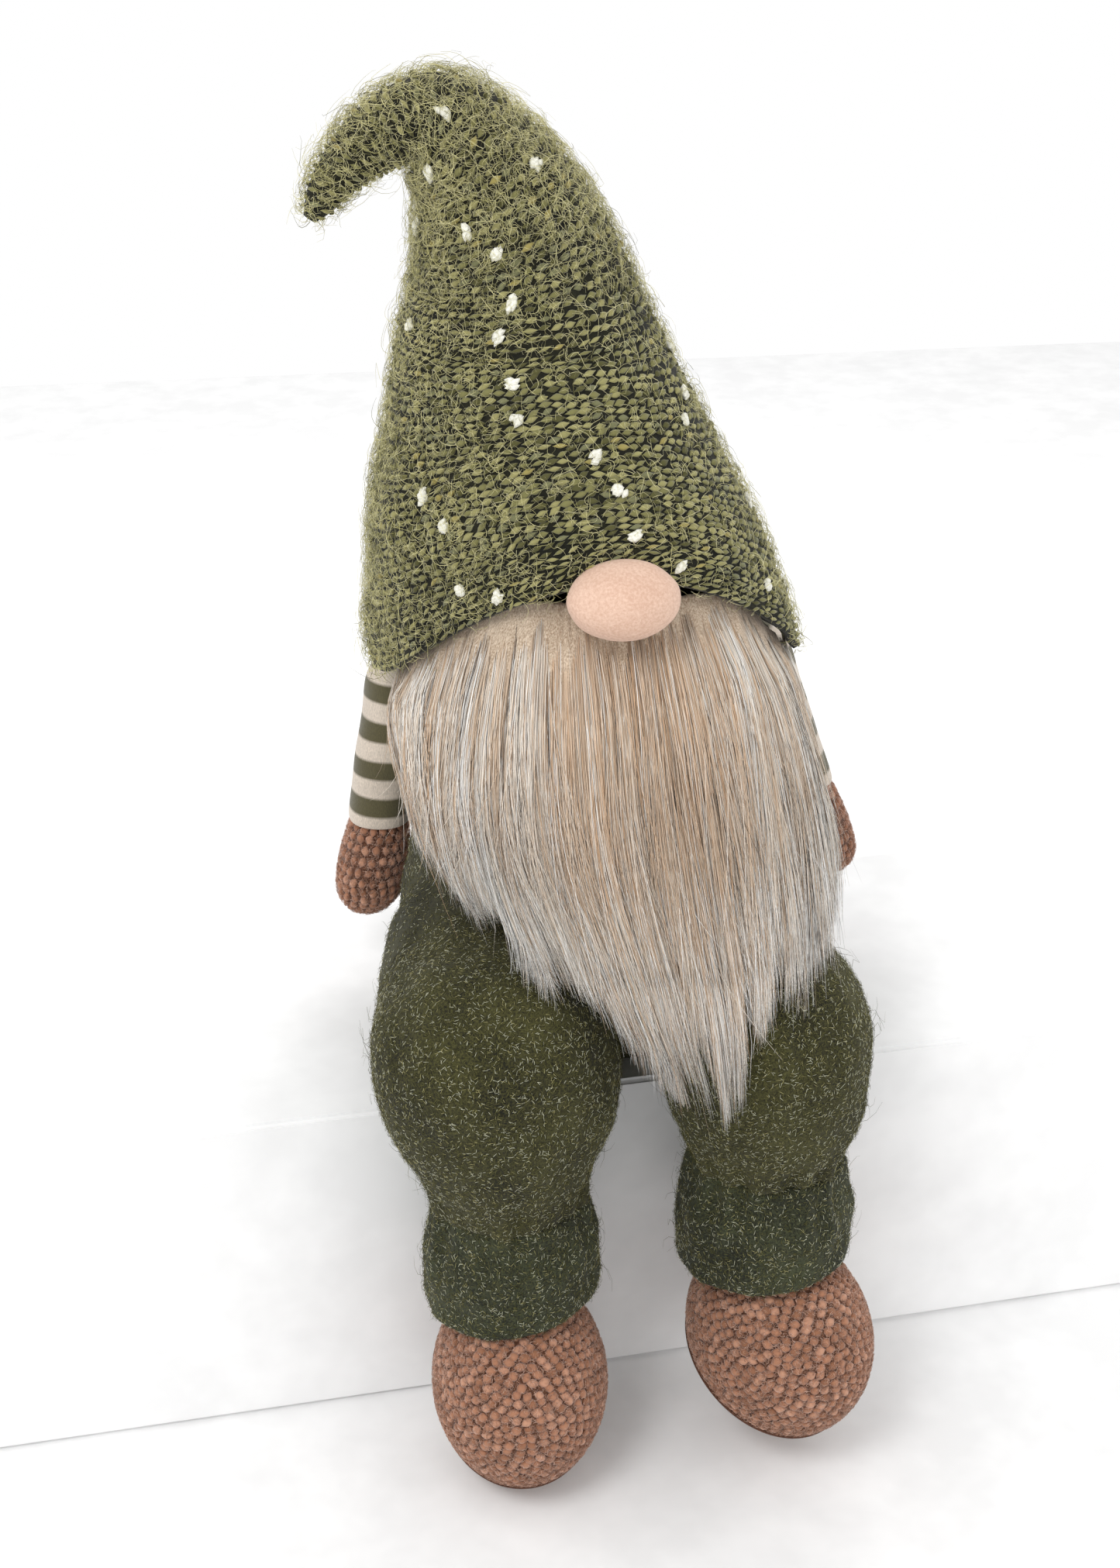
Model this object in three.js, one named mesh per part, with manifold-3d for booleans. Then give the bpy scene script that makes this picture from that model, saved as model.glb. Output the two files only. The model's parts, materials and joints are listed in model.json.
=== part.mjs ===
// A stuffed Nordic gnome that sits on a shelf edge with its legs hanging over it.
// Millimetres, +Z up. The figure looks along -Y and its own left side is at +X.
// The origin is the centre of the flat seat, on the seat plane.
import * as THREE from "three";
import { mergeVertices } from "three/addons/utils/BufferGeometryUtils.js";
import Module from "manifold-3d";

const wasm = await Module();
wasm.setup();

// Cloth and fits
const KNIT = 2.5; // thickness of a knitted cover
const GAP = 0.4; // clearance between neighbouring pieces
const FAR = 200; // reaches past every piece, for cutting
const AIR = 1; // clearance between pieces that turn against each other
const WIRE_RADIUS = 1.5; // soft steel wire in the hat
const CHANNEL_RADIUS = 2.3; // hole in the filling that the wire runs through

// Torso
const SEAT_RADIUS = 81;
const TORSO_DEPTH = 0.76; // front-to-back size over width
const TORSO_FULLNESS = 2.1; // 2 is an ellipse, more is squarer
const TORSO_OUTLINE = [
  [0, 0], [SEAT_RADIUS, 0], [87, 10], [87, 30], [82, 55], [78, 78], [76, 100],
  [74, 127], [72, 145], [69, 165], [62, 184], [42, 198], [0, 204],
];
const SEAT_PANEL = 2;
const WEIGHT_BAG_TOP = 36;

// Hat
const BRIM_RADIUS = 88;
const BRIM_HEIGHT = 165;
const HAT_DEPTH = 0.94;
const HAT_LEAN = -0.175; // sideways shift of the hat's axis per millimetre of height
const BRIM_ARCH = 64; // how far the brim rises over the nose
const ARCH_TOP = 305; // height at which the arch has faded out
const HAT_STUFFING_BASE = 207;
const HEAD_CORE = [[0, HAT_STUFFING_BASE], [70, HAT_STUFFING_BASE], [65, 232], [56, 252], [0, 252]];
const HAT_CUT = 313; // where the lower hat stops below the bend
const HAT_OUTLINE = [
  [0, BRIM_HEIGHT], [BRIM_RADIUS, BRIM_HEIGHT], [87, 182], [83, 202], [75, 235],
  [65, 261], [52, 298], [46.5, HAT_CUT], [0, HAT_CUT],
];
const BEND = new THREE.Vector3(-30, 0, 333); // centre of the wire bend
const BEND_BALL = 37;
const THROAT_RADIUS = 18; // opening in the foot of the tip's ball
const TIP_SPINE = [
  [-30, 328], [-35.5, 350], [-44, 368.5], [-57, 382.5], [-69, 386], [-82, 381.5], [-92, 373],
  [-100.5, 363], [-106, 356],
];
const TIP_RADII = [35.5, 32, 25.5, 18.5, 16.5, 16, 14, 11, 6.5];

// Nose and beard
const NOSE = new THREE.Vector3(0, -88, 224);
const NOSE_SIZE = new THREE.Vector3(21.5, 17, 16.5); // half sizes
const NOSE_BACK = -77;
const BEARD_HINGE = new THREE.Vector3(0, -76, 203);
const BEARD_TOP = 211;
const BEARD_BOTTOM = 97;
const BEARD_LIFT = 45; // degrees
const BEARD_BODY = new THREE.Vector3(0, -58, 138);
const BEARD_HALF = new THREE.Vector3(90, 56, 92);

// Arms
const SHOULDER_DEPTH = 32;
const SLEEVE_RADIUS = 14.5;
const SLEEVE_LENGTH = 66;
const HAND_LENGTH = 46;
const HAND_RADIUS = 15.5;
// x, z: the shoulder; splay: sideways run per millimetre of drop
const ARMS = {
  left: { side: 1, x: 81, z: 149, splay: 0.34 },
  right: { side: -1, x: 77.5, z: 144, splay: 0.16 },
};

// Legs
const HIP = { x: 54.4, y: -118, z: 46 };
const HIP_RADIUS = 45;
const ANKLE_BALL = 28;
const ANKLE_RIM = 8; // the leg ends this far above the ankle's centre
const PINCH_RADIUS = 30.5; // the trouser leg's gathered waist, which the elastic lies in
const ELASTIC_RADIUS = 1.2;
const BOOT_HALF = new THREE.Vector3(36, 44, 43);
const BOOT_OFFSET = new THREE.Vector3(2, -12, -81);
const BOOT_TILT = 24; // degrees, toe down
const SOLE_DROP = 32; // from the boot's centre to the sole plane
const SOLE_THICKNESS = 5;
// drop: hip to ankle; width: across over front-to-back; lean: sideways run per millimetre; turn: toe out
const LEGS = {
  left: { side: 1, drop: 62, width: 0.95, lean: 0.05, turn: 24 },
  right: { side: -1, drop: 72, width: 1.11, lean: 0.08, turn: -2 },
};

const cloth = (color, roughness = 0.95) =>
  new THREE.MeshStandardMaterial({ color, roughness, metalness: 0 });
const MATERIALS = {
  trouserKnit: cloth(0x3a4423),
  hatKnit: cloth(0x6b7440),
  cuffKnit: cloth(0x2f3d27),
  chenille: cloth(0x9a6a50),
  jersey: cloth(0xb6a78f),
  noseFelt: cloth(0xe0b596, 0.8),
  fur: cloth(0xb9a68d, 0.7),
  backing: cloth(0x9b8b75),
  filling: cloth(0xf2f0ea, 1),
  sand: cloth(0xcdbb95, 1),
  canvas: cloth(0x4a4a3c),
  elastic: cloth(0x22281b),
  wire: new THREE.MeshStandardMaterial({ color: 0xb8bcc0, roughness: 0.35, metalness: 1 }),
};

const radians = THREE.MathUtils.degToRad;

// Solids and booleans
function solid(geometry) {
  const bare = geometry.clone();
  bare.deleteAttribute("normal");
  bare.deleteAttribute("uv");
  const merged = mergeVertices(bare, 1e-3);
  return new wasm.Manifold(new wasm.Mesh({
    numProp: 3,
    vertProperties: merged.attributes.position.array,
    triVerts: new Uint32Array(merged.index.array),
  }));
}

function mesh(name, shape, material) {
  const { vertProperties, triVerts } = shape.getMesh();
  const geometry = new THREE.BufferGeometry();
  geometry.setAttribute("position", new THREE.BufferAttribute(vertProperties, 3));
  geometry.setIndex(new THREE.BufferAttribute(triVerts, 1));
  geometry.computeVertexNormals();
  const made = new THREE.Mesh(geometry, MATERIALS[material]);
  made.name = name;
  return made;
}

// Shape builders
function turned(outline, segments = 24) {
  const points = outline.map(([radius, height]) => new THREE.Vector2(radius, height));
  return new THREE.LatheGeometry(points, segments).rotateX(Math.PI / 2);
}

function reshape(geometry, move) {
  const position = geometry.attributes.position;
  const point = new THREE.Vector3();
  for (let i = 0; i < position.count; i++) {
    move(point.fromBufferAttribute(position, i));
    position.setXYZ(i, point.x, point.y, point.z);
  }
  return geometry;
}

// Pulls a turned outline in by the given amount, leaving points on the axis where they are.
const inset = (outline, amount) => outline.map(([r, z]) => [r > 0 ? r - amount : 0, z]);

function ellipsoid(centre, half, segments = 16) {
  return new THREE.SphereGeometry(1, segments, segments / 2)
    .rotateX(Math.PI / 2)
    .scale(half.x, half.y, half.z)
    .translate(centre.x, centre.y, centre.z);
}

const ball = (centre, radius, segments = 18) =>
  ellipsoid(centre, new THREE.Vector3(radius, radius, radius), segments);

const grown = (half, amount) => half.clone().addScalar(amount);

function box(low, high) {
  const size = new THREE.Vector3().subVectors(high, low);
  const centre = new THREE.Vector3().addVectors(low, high).multiplyScalar(0.5);
  return new THREE.BoxGeometry(size.x, size.y, size.z).translate(centre.x, centre.y, centre.z);
}

function rod(points, radius) {
  const section = new THREE.Shape();
  section.absarc(0, 0, radius, 0, 2 * Math.PI);
  const path = new THREE.CatmullRomCurve3(points);
  return new THREE.ExtrudeGeometry(section, {
    extrudePath: path,
    steps: 3 * (points.length - 1),
    curveSegments: 4,
    bevelEnabled: false,
  });
}

// Torso: a full, slightly square section on a flat seat
function squareSection(point, depth, fullness) {
  const radius = Math.hypot(point.x, point.y);
  if (radius < 1e-6) return;
  const stretch = (part) => Math.sign(part) * Math.abs(part) ** (2 / fullness);
  point.x = radius * stretch(point.x / radius);
  point.y = radius * depth * stretch(point.y / radius);
}

function torsoForm(outline) {
  return solid(reshape(turned(outline), (p) => squareSection(p, TORSO_DEPTH, TORSO_FULLNESS)));
}

function radiusAt(outline, height) {
  const above = outline.findIndex(([, z]) => z > height);
  const [lowRadius, low] = outline[above - 1];
  const [highRadius, high] = outline[above];
  return lowRadius + ((highRadius - lowRadius) * (height - low)) / (high - low);
}

// The inside of an outline: pulled in all round by the given amount, with its base at a new height.
function lining(outline, amount, base) {
  const top = outline.at(-1)[1] - amount;
  const kept = inset(outline, amount).filter(([, z]) => z > base && z < top);
  return [[0, base], [radiusAt(outline, base) - amount, base], ...kept, [0, top]];
}

function torso() {
  const cover = torsoForm(TORSO_OUTLINE);
  const inside = torsoForm(lining(TORSO_OUTLINE, KNIT, 3));
  const mouth = torsoForm([[0, -5], [SEAT_RADIUS - KNIT, -5], [SEAT_RADIUS - KNIT, 4], [0, 4]]);
  const panelRadius = SEAT_RADIUS - KNIT - GAP;
  const panel = torsoForm([[0, 0], [panelRadius, 0], [panelRadius, SEAT_PANEL], [0, SEAT_PANEL]]);
  const bagRadius = panelRadius - 3;
  const bag = torsoForm([
    [0, SEAT_PANEL + GAP], [bagRadius - 6, SEAT_PANEL + GAP], [bagRadius, 10], [bagRadius, 24],
    [bagRadius - 14, WEIGHT_BAG_TOP - 3], [0, WEIGHT_BAG_TOP],
  ]);
  const stuffing = torsoForm(lining(TORSO_OUTLINE, KNIT + GAP, WEIGHT_BAG_TOP + GAP));
  return [
    mesh("overalls_torso", cover.subtract(inside).subtract(mouth), "trouserKnit"),
    mesh("seat_panel", panel, "canvas"),
    mesh("weight_bag", bag, "sand"),
    mesh("torso_stuffing", stuffing, "filling"),
  ];
}

// Hat: a leaning cone whose brim arches over the nose, and a wired tip that curls over
function lean(p) {
  p.y *= HAT_DEPTH;
  p.x += HAT_LEAN * (p.z - BRIM_HEIGHT);
}

function hatForm(outline) {
  const archAndLean = (p) => {
    const radius = Math.hypot(p.x, p.y);
    const front = radius > 1e-6 ? Math.max(0, -p.y / radius) ** 1.6 : 0;
    const fade = THREE.MathUtils.clamp((ARCH_TOP - p.z) / (ARCH_TOP - BRIM_HEIGHT), 0, 1);
    p.z += BRIM_ARCH * front * fade;
    lean(p);
  };
  return solid(reshape(turned(outline), archAndLean));
}

const axisPoint = (z) => new THREE.Vector3(HAT_LEAN * (z - BRIM_HEIGHT), 0, z);

function tipForm(shrink) {
  const spine = new THREE.CatmullRomCurve3(TIP_SPINE.map(([x, z]) => new THREE.Vector3(x, 0, z)));
  const last = TIP_RADII.length - 1;
  const outline = TIP_RADII.map((radius, i) => [radius - shrink, i / last]);
  const nib = [[(TIP_RADII[last] - shrink) * 0.6, 1.03 - shrink * 0.005], [0, 1.045 - shrink * 0.01]];
  const along = (p) => {
    const t = THREE.MathUtils.clamp(p.z, 0, 1);
    const centre = spine.getPoint(t);
    const heading = spine.getTangent(t);
    const beyond = (p.z - t) * spine.getLength();
    const across = new THREE.Vector3(heading.z, 0, -heading.x);
    const sideways = p.y;
    p.copy(centre.addScaledVector(across, p.x).addScaledVector(heading, beyond));
    p.y = sideways;
  };
  const tube = solid(reshape(turned([[0, 0], ...outline, ...nib], 14), along));
  return solid(ball(BEND, BEND_BALL - shrink)).add(tube);
}

function nose(amount) {
  return solid(ellipsoid(NOSE, grown(NOSE_SIZE, amount)));
}

function hat() {
  const socket = solid(ball(BEND, BEND_BALL + AIR));
  const outer = hatForm(HAT_OUTLINE);
  const mouth = BRIM_HEIGHT - 30;
  const lastRadius = HAT_OUTLINE.at(-2)[0] - KNIT;
  const inner = hatForm([
    [0, mouth], [BRIM_RADIUS - KNIT, mouth],
    ...inset(HAT_OUTLINE, KNIT).slice(1, -1),
    [lastRadius, HAT_CUT + 5], [0, HAT_CUT + 5],
  ]);
  const lowerKnit = outer.subtract(inner).subtract(socket).subtract(nose(AIR));

  const filled = hatForm(inset(HAT_OUTLINE, KNIT + GAP));
  const core = solid(reshape(turned(HEAD_CORE), lean));
  const corner = new THREE.Vector3(FAR, FAR, HAT_STUFFING_BASE);
  const below = solid(box(new THREE.Vector3(-FAR, -FAR, 0), corner));
  const ballFoot = new THREE.Vector3(BEND.x, 0, BEND.z - BEND_BALL);
  const wireRun = (top) => [axisPoint(HAT_STUFFING_BASE + 9), axisPoint(255), axisPoint(top)];
  const channel = solid(rod(wireRun(ballFoot.z + 4), CHANNEL_RADIUS));
  const cuts = [socket, nose(AIR), channel];
  const lowerStuffing = cuts.reduce((rest, cut) => rest.subtract(cut), filled.subtract(below).add(core));
  const lowerWire = solid(rod(wireRun(ballFoot.z - 3), WIRE_RADIUS));

  const throat = solid(ball(ballFoot, THROAT_RADIUS, 10));
  const tipKnit = tipForm(0).subtract(tipForm(KNIT)).subtract(throat);
  const tipRun = TIP_SPINE.slice(0, -1).map(([x, z]) => new THREE.Vector3(x, 0, z));
  const tipChannel = solid(rod([ballFoot, ...tipRun], CHANNEL_RADIUS));
  const tipStuffing = tipForm(KNIT + GAP).subtract(throat).subtract(tipChannel);
  const wireStart = new THREE.Vector3(BEND.x, 0, BEND.z - BEND_BALL / 2);
  const tipWire = solid(rod([wireStart, ...tipRun.slice(0, -1)], WIRE_RADIUS));
  return [
    mesh("hat_knit_lower", lowerKnit, "hatKnit"),
    mesh("hat_stuffing_lower", lowerStuffing, "filling"),
    mesh("hat_wire_lower", lowerWire, "wire"),
    mesh("hat_knit_tip", tipKnit, "hatKnit"),
    mesh("hat_stuffing_tip", tipStuffing, "filling"),
    mesh("hat_wire_tip", tipWire, "wire"),
  ];
}

function face() {
  const front = solid(box(new THREE.Vector3(-FAR, -FAR, 0), new THREE.Vector3(FAR, NOSE_BACK, 2 * FAR)));
  const cover = nose(0).intersect(front).subtract(nose(-KNIT + 1));
  const filling = nose(-KNIT + 1 - GAP).intersect(front);
  return [mesh("nose_cover", cover, "noseFelt"), mesh("nose_filling", filling, "filling")];
}

// Beard: a curved backing cloth with the fur pile in front of it, both turning under the nose
function beardWindow() {
  const shield = new THREE.Shape();
  shield.moveTo(-46, BEARD_BOTTOM);
  shield.lineTo(46, BEARD_BOTTOM);
  shield.quadraticCurveTo(84, 128, 92, 158);
  shield.quadraticCurveTo(66, 198.5, 30, BEARD_TOP);
  shield.lineTo(-30, BEARD_TOP);
  shield.quadraticCurveTo(-66, 198.5, -92, 158);
  shield.quadraticCurveTo(-84, 128, -46, BEARD_BOTTOM);
  const depth = 130;
  return solid(
    new THREE.ExtrudeGeometry(shield, { depth, curveSegments: 4, bevelEnabled: false })
      .rotateX(Math.PI / 2)
      .translate(0, -20, 0),
  );
}

// The front of the figure that the beard lies on, grown outwards.
function chest(amount) {
  const outline = [
    [0, 60], [93, 60], [88, 78], [84, 100], [81, 127], [79, 150], [80, 175], [80, 232], [0, 232],
  ];
  const grow = outline.map(([r, z]) => [r > 0 ? r + amount : 0, z]);
  return solid(reshape(turned(grow, 22), (p) => squareSection(p, 0.9, 2)));
}

function beard() {
  const window = beardWindow();
  const liftOut = [0, 15, 30, BEARD_LIFT].map((angle) => {
    const swing = ellipsoid(NOSE, grown(NOSE_SIZE, 2 * AIR))
      .translate(-BEARD_HINGE.x, -BEARD_HINGE.y, -BEARD_HINGE.z)
      .rotateX(radians(angle))
      .translate(BEARD_HINGE.x, BEARD_HINGE.y, BEARD_HINGE.z);
    return solid(swing);
  });
  const clearNose = (shape) => liftOut.reduce((rest, cut) => rest.subtract(cut), shape);
  const backing = chest(1.8).subtract(chest(0.2)).intersect(window);
  const pile = solid(ellipsoid(BEARD_BODY, BEARD_HALF, 22)).subtract(chest(1.8 + GAP)).intersect(window);
  return [
    mesh("beard_backing", clearNose(backing), "backing"),
    mesh("beard_pile", clearNose(pile), "fur"),
  ];
}

// Arms: a striped sleeve and a knitted mitt, each a stuffed cover, hanging from a round shoulder
function arm(name, { side, x, z, splay }) {
  const made = (outline) =>
    solid(reshape(turned(outline, 16), (p) => {
      p.x += side * (x + splay * Math.max(0, -p.z));
      p.y += SHOULDER_DEPTH;
      p.z += z;
    }));
  const dome = (radius) =>
    [60, 30, 0].map((angle) => [radius * Math.sin(radians(angle)), radius * Math.cos(radians(angle))]);
  const end = -SLEEVE_LENGTH;
  const wrist = end - GAP;
  const sleeve = (inner) => {
    const r = SLEEVE_RADIUS - inner;
    return [[0, end], [r, end], [r, 0], ...dome(r)];
  };
  const mitt = (inner) => {
    const r = HAND_RADIUS - inner;
    const tip = wrist - HAND_LENGTH + inner;
    return [
      [0, tip], [r * 0.6, tip + 4], [r, tip + 16],
      [r, wrist - 14], [r * 0.82, wrist], [0, wrist],
    ];
  };
  const holeRadius = SLEEVE_RADIUS - 5;
  const hole = made([[0, end - 12], [holeRadius, end - 12], [holeRadius, end + 3], [0, end + 3]]);
  const lift = KNIT - 1;
  const sleeveCover = made(sleeve(0)).subtract(made(sleeve(lift))).subtract(hole);
  const mittCover = made(mitt(0)).subtract(made(mitt(lift))).subtract(hole);
  const parting = made([[0, end - 3], [30, end - 3], [30, end + 3], [0, end + 3]]);
  return [
    mesh(name + "_sleeve", sleeveCover, "jersey"),
    mesh(name + "_arm_stuffing", made(sleeve(lift + GAP)).subtract(parting), "filling"),
    mesh(name + "_hand", mittCover, "chenille"),
    mesh(name + "_hand_stuffing", made(mitt(lift + GAP)).subtract(parting), "filling"),
  ];
}

// Legs: trouser leg from a round thigh to the gathered ankle, then cuff and boot
function thighOutline(drop, inner) {
  const round = [75, 50, 25].map((angle) => {
    const radius = HIP_RADIUS - inner;
    return [radius * Math.cos(radians(angle)), radius * Math.sin(radians(angle))];
  });
  const end = ANKLE_RIM - drop;
  const pinch = [[31.5, end], [PINCH_RADIUS, end + 4.5], [PINCH_RADIUS, end + 7.5]];
  const taper = [[36.5, -0.68], [41.5, -0.45], [44, -0.25], [45, 0]].map(([r, share]) => [r, share * drop]);
  const side = [...pinch, ...taper].map(([r, z]) => [r - inner, z]);
  return [[0, end], ...side, ...round.reverse(), [0, HIP_RADIUS - inner]];
}

function leg(name, { side, drop, width, lean, turn }) {
  const hip = new THREE.Vector3(side * HIP.x, HIP.y, HIP.z);
  const ankle = new THREE.Vector3(hip.x + lean * drop, hip.y, hip.z - drop);
  const hem = ANKLE_RIM + 6 - drop;
  const thigh = (inner) =>
    solid(reshape(turned(thighOutline(drop, inner), 18), (p) => {
      const fullness = THREE.MathUtils.smoothstep(p.z, hem + 6, hem / 3);
      p.x = p.x * THREE.MathUtils.lerp(1, width, fullness) + lean * Math.max(0, -p.z);
      p.add(hip);
    }));
  const room = ANKLE_BALL + AIR;
  const socket = solid(ellipsoid(ankle, new THREE.Vector3(room, room, room), 18));
  const legCover = thigh(0).subtract(thigh(KNIT)).subtract(socket);
  const legStuffing = thigh(KNIT + GAP).subtract(socket);

  const section = new THREE.Shape();
  section.absarc(PINCH_RADIUS + GAP + ELASTIC_RADIUS, 0, ELASTIC_RADIUS, 0, 2 * Math.PI);
  const ring = new THREE.LatheGeometry(section.getPoints(3), 18).rotateX(Math.PI / 2);
  const elastic = solid(ring.translate(hip.x - lean * hem, hip.y, hip.z + hem));

  return [
    mesh(name + "_trouser_leg", legCover, "trouserKnit"),
    mesh(name + "_leg_stuffing", legStuffing, "filling"),
    mesh(name + "_ankle_elastic", elastic, "elastic"),
    ...foot(name, ankle, turn),
  ];
}

function foot(name, ankle, turn) {
  const place = (geometry) => geometry.translate(ankle.x, ankle.y, ankle.z);
  const neck = [90, 65, 40, 15].map((angle) => {
    return [ANKLE_BALL * Math.cos(radians(angle)), ANKLE_BALL * Math.sin(radians(angle))];
  });
  const skirt = [[0, -38], [33.5, -38], [35, -33], [35, -22], [32, -12], [27.5, -5]];
  const cuffOutline = [...skirt, ...neck.reverse()];
  cuffOutline.at(-1)[0] = 0;
  const boot = (amount) =>
    place(ellipsoid(new THREE.Vector3(), grown(BOOT_HALF, amount), 18)
      .rotateX(radians(BOOT_TILT))
      .translate(BOOT_OFFSET.x, BOOT_OFFSET.y, BOOT_OFFSET.z)
      .rotateZ(radians(turn)));
  const slab = (top, bottom) =>
    solid(place(box(new THREE.Vector3(-90, -90, bottom), new THREE.Vector3(90, 90, top))
      .translate(0, 0, -SOLE_DROP)
      .rotateX(radians(BOOT_TILT / 2))
      .translate(BOOT_OFFSET.x, BOOT_OFFSET.y, BOOT_OFFSET.z)
      .rotateZ(radians(turn))));
  const bootOuter = solid(boot(0));
  const belowSole = slab(0, -80);
  const bootTop = solid(boot(-KNIT));
  const neckHole = solid(place(turned([[0, -60], [20, -60], [20, 20], [0, 20]], 12)));
  const upper = bootOuter.subtract(bootTop).subtract(belowSole).subtract(neckHole);
  const sole = bootOuter.intersect(slab(-GAP, -SOLE_THICKNESS));
  const stuffing = solid(boot(-KNIT - GAP)).subtract(slab(GAP, -80));
  const cuffBody = solid(place(turned(cuffOutline, 18)));
  const hollow = [[0, -60], [30, -60], [30, -14], [24, -6], [24, 12], [0, 18]];
  const cuffHollow = solid(place(turned(hollow, 12)));
  return [
    mesh(name + "_cuff", cuffBody.subtract(cuffHollow).subtract(solid(boot(GAP))), "cuffKnit"),
    mesh(name + "_boot_upper", upper, "chenille"),
    mesh(name + "_boot_sole", sole, "chenille"),
    mesh(name + "_boot_stuffing", stuffing, "filling"),
  ];
}

const gnome = new THREE.Group();
gnome.name = "sitting_gnome";
gnome.add(...torso(), ...hat(), ...face(), ...beard());
for (const [name, place] of Object.entries(ARMS)) gnome.add(...arm(name, place));
for (const [name, place] of Object.entries(LEGS)) gnome.add(...leg(name, place));

export default gnome;
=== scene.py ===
import bmesh
import bpy
import numpy as np
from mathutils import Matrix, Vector
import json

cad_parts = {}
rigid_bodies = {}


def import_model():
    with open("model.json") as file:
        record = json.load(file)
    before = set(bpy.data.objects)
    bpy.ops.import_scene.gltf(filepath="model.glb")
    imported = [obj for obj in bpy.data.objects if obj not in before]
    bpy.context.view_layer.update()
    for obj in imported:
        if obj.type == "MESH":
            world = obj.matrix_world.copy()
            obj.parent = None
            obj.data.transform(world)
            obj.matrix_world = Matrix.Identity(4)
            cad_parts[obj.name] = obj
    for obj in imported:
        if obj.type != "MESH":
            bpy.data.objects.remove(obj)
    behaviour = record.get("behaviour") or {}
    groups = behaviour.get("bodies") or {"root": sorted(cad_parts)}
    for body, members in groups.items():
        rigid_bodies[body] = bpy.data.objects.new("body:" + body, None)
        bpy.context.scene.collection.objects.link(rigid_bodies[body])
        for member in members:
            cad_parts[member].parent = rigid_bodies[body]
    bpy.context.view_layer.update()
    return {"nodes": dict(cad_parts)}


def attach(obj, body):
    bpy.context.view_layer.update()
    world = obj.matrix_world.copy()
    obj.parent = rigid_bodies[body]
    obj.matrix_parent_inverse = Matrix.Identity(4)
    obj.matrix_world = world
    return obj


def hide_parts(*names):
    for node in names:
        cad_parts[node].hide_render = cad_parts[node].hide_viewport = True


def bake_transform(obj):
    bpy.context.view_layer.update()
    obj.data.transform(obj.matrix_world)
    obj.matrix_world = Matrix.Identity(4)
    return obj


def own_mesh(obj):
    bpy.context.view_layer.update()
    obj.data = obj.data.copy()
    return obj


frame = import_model()

MM = 0.001  # the pieces below are worked out in millimetres

# ---- sizes, as in the CAD part
SEAT_DEPTH = 0.76
TORSO_FULLNESS = 2.1
TORSO_OUTLINE = [
    (0, 0.6), (80, 0.6), (87, 10), (87, 30), (82, 55), (78, 78), (76, 100), (74, 127),
    (72, 145), (69, 165), (62, 184), (42, 198), (0, 204),
]
BRIM_HEIGHT = 165
HAT_DEPTH = 0.94
BRIM_ARCH = 64
ARCH_TOP = 305
HAT_PATH = [  # (x, z, radius) up the hat's axis and along the drooping tip
    (0, 165, 88), (-3, 182, 87), (-6.5, 202, 83), (-12.3, 235, 75), (-16.8, 261, 65), (-23.3, 298, 52),
    (-25.9, 313, 46.5), (-29.5, 330, 40), (-35.5, 350, 33.5), (-44, 368.5, 26), (-57, 382, 19.5),
    (-69, 384, 15.5), (-82, 378.5, 12.5), (-92, 370, 10), (-101, 359, 6.8), (-107, 350, 2.5),
]
NOSE = np.array([0, -88, 224.0])
NOSE_SIZE = np.array([21.5, 16.2, 15.2])
SHOULDER_DEPTH = 32
ARMS = {
    "left": dict(side=1, x=81, z=149, splay=0.34),
    "right": dict(side=-1, x=77.5, z=144, splay=0.16),
}
SLEEVE_LENGTH = 66
HAND_LENGTH = 46
HIP = (54.4, -118, 46)
HIP_RADIUS = 45
ANKLE_RIM = 8
BOOT_HALF = np.array([36, 44, 43.0])
BOOT_OFFSET = np.array([2, -12, -81.0])
BOOT_TILT = 24
HEM_SLANT = 0.1  # rise of the cuff's hem per millimetre towards the gnome's left
LEGS = {
    "left": dict(side=1, drop=62, width=0.95, lean=0.05, turn=24),
    "right": dict(side=-1, drop=72, width=1.11, lean=0.08, turn=-2),
}


# ---- small maths
def smooth(low, high, x):
    t = np.clip((np.asarray(x, float) - low) / (high - low), 0, 1)
    return t * t * (3 - 2 * t)


def unit(v):
    return v / np.maximum(np.linalg.norm(v, axis=-1, keepdims=True), 1e-9)


def curve(points, t):
    """Points on a smooth curve through the given ones, at t from 0 to 1."""
    p = np.asarray(points, float)
    p = np.concatenate([[2 * p[0] - p[1]], p, [2 * p[-1] - p[-2]]])
    a = np.clip(np.asarray(t, float), 0, 1) * (len(p) - 3)
    i = np.minimum(a.astype(int), len(p) - 4)
    f = (a - i)[:, None]
    p0, p1, p2, p3 = p[i], p[i + 1], p[i + 2], p[i + 3]
    return 0.5 * (
        2 * p1 + (p2 - p0) * f + (2 * p0 - 5 * p1 + 4 * p2 - p3) * f**2 + (3 * p1 - p0 - 3 * p2 + p3) * f**3
    )


def around(count):
    return 2 * np.pi * np.arange(count) / count


def crossed(a, b, tilt):
    """Two directions at right angles, turned from a towards b by the tilt."""
    return a * np.cos(tilt) + b * np.sin(tilt), b * np.cos(tilt) - a * np.sin(tilt)


def lumps(p, size, seed):
    """Smooth noise of about the given size, from -1 to 1."""
    r = np.random.default_rng(seed)
    total = np.zeros(p.shape[:-1])
    for _ in range(7):
        way = unit(r.normal(size=3)) * 2 * np.pi / (size * r.uniform(0.7, 1.5))
        total += np.sin(p @ way + r.uniform(0, 6.28))
    return total / 3.5


def turn_x(p, degrees):
    c, s = np.cos(np.radians(degrees)), np.sin(np.radians(degrees))
    return np.stack([p[..., 0], c * p[..., 1] - s * p[..., 2], s * p[..., 1] + c * p[..., 2]], -1)


def turn_z(p, degrees):
    c, s = np.cos(np.radians(degrees)), np.sin(np.radians(degrees))
    return np.stack([c * p[..., 0] - s * p[..., 1], s * p[..., 0] + c * p[..., 1], p[..., 2]], -1)


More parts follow.
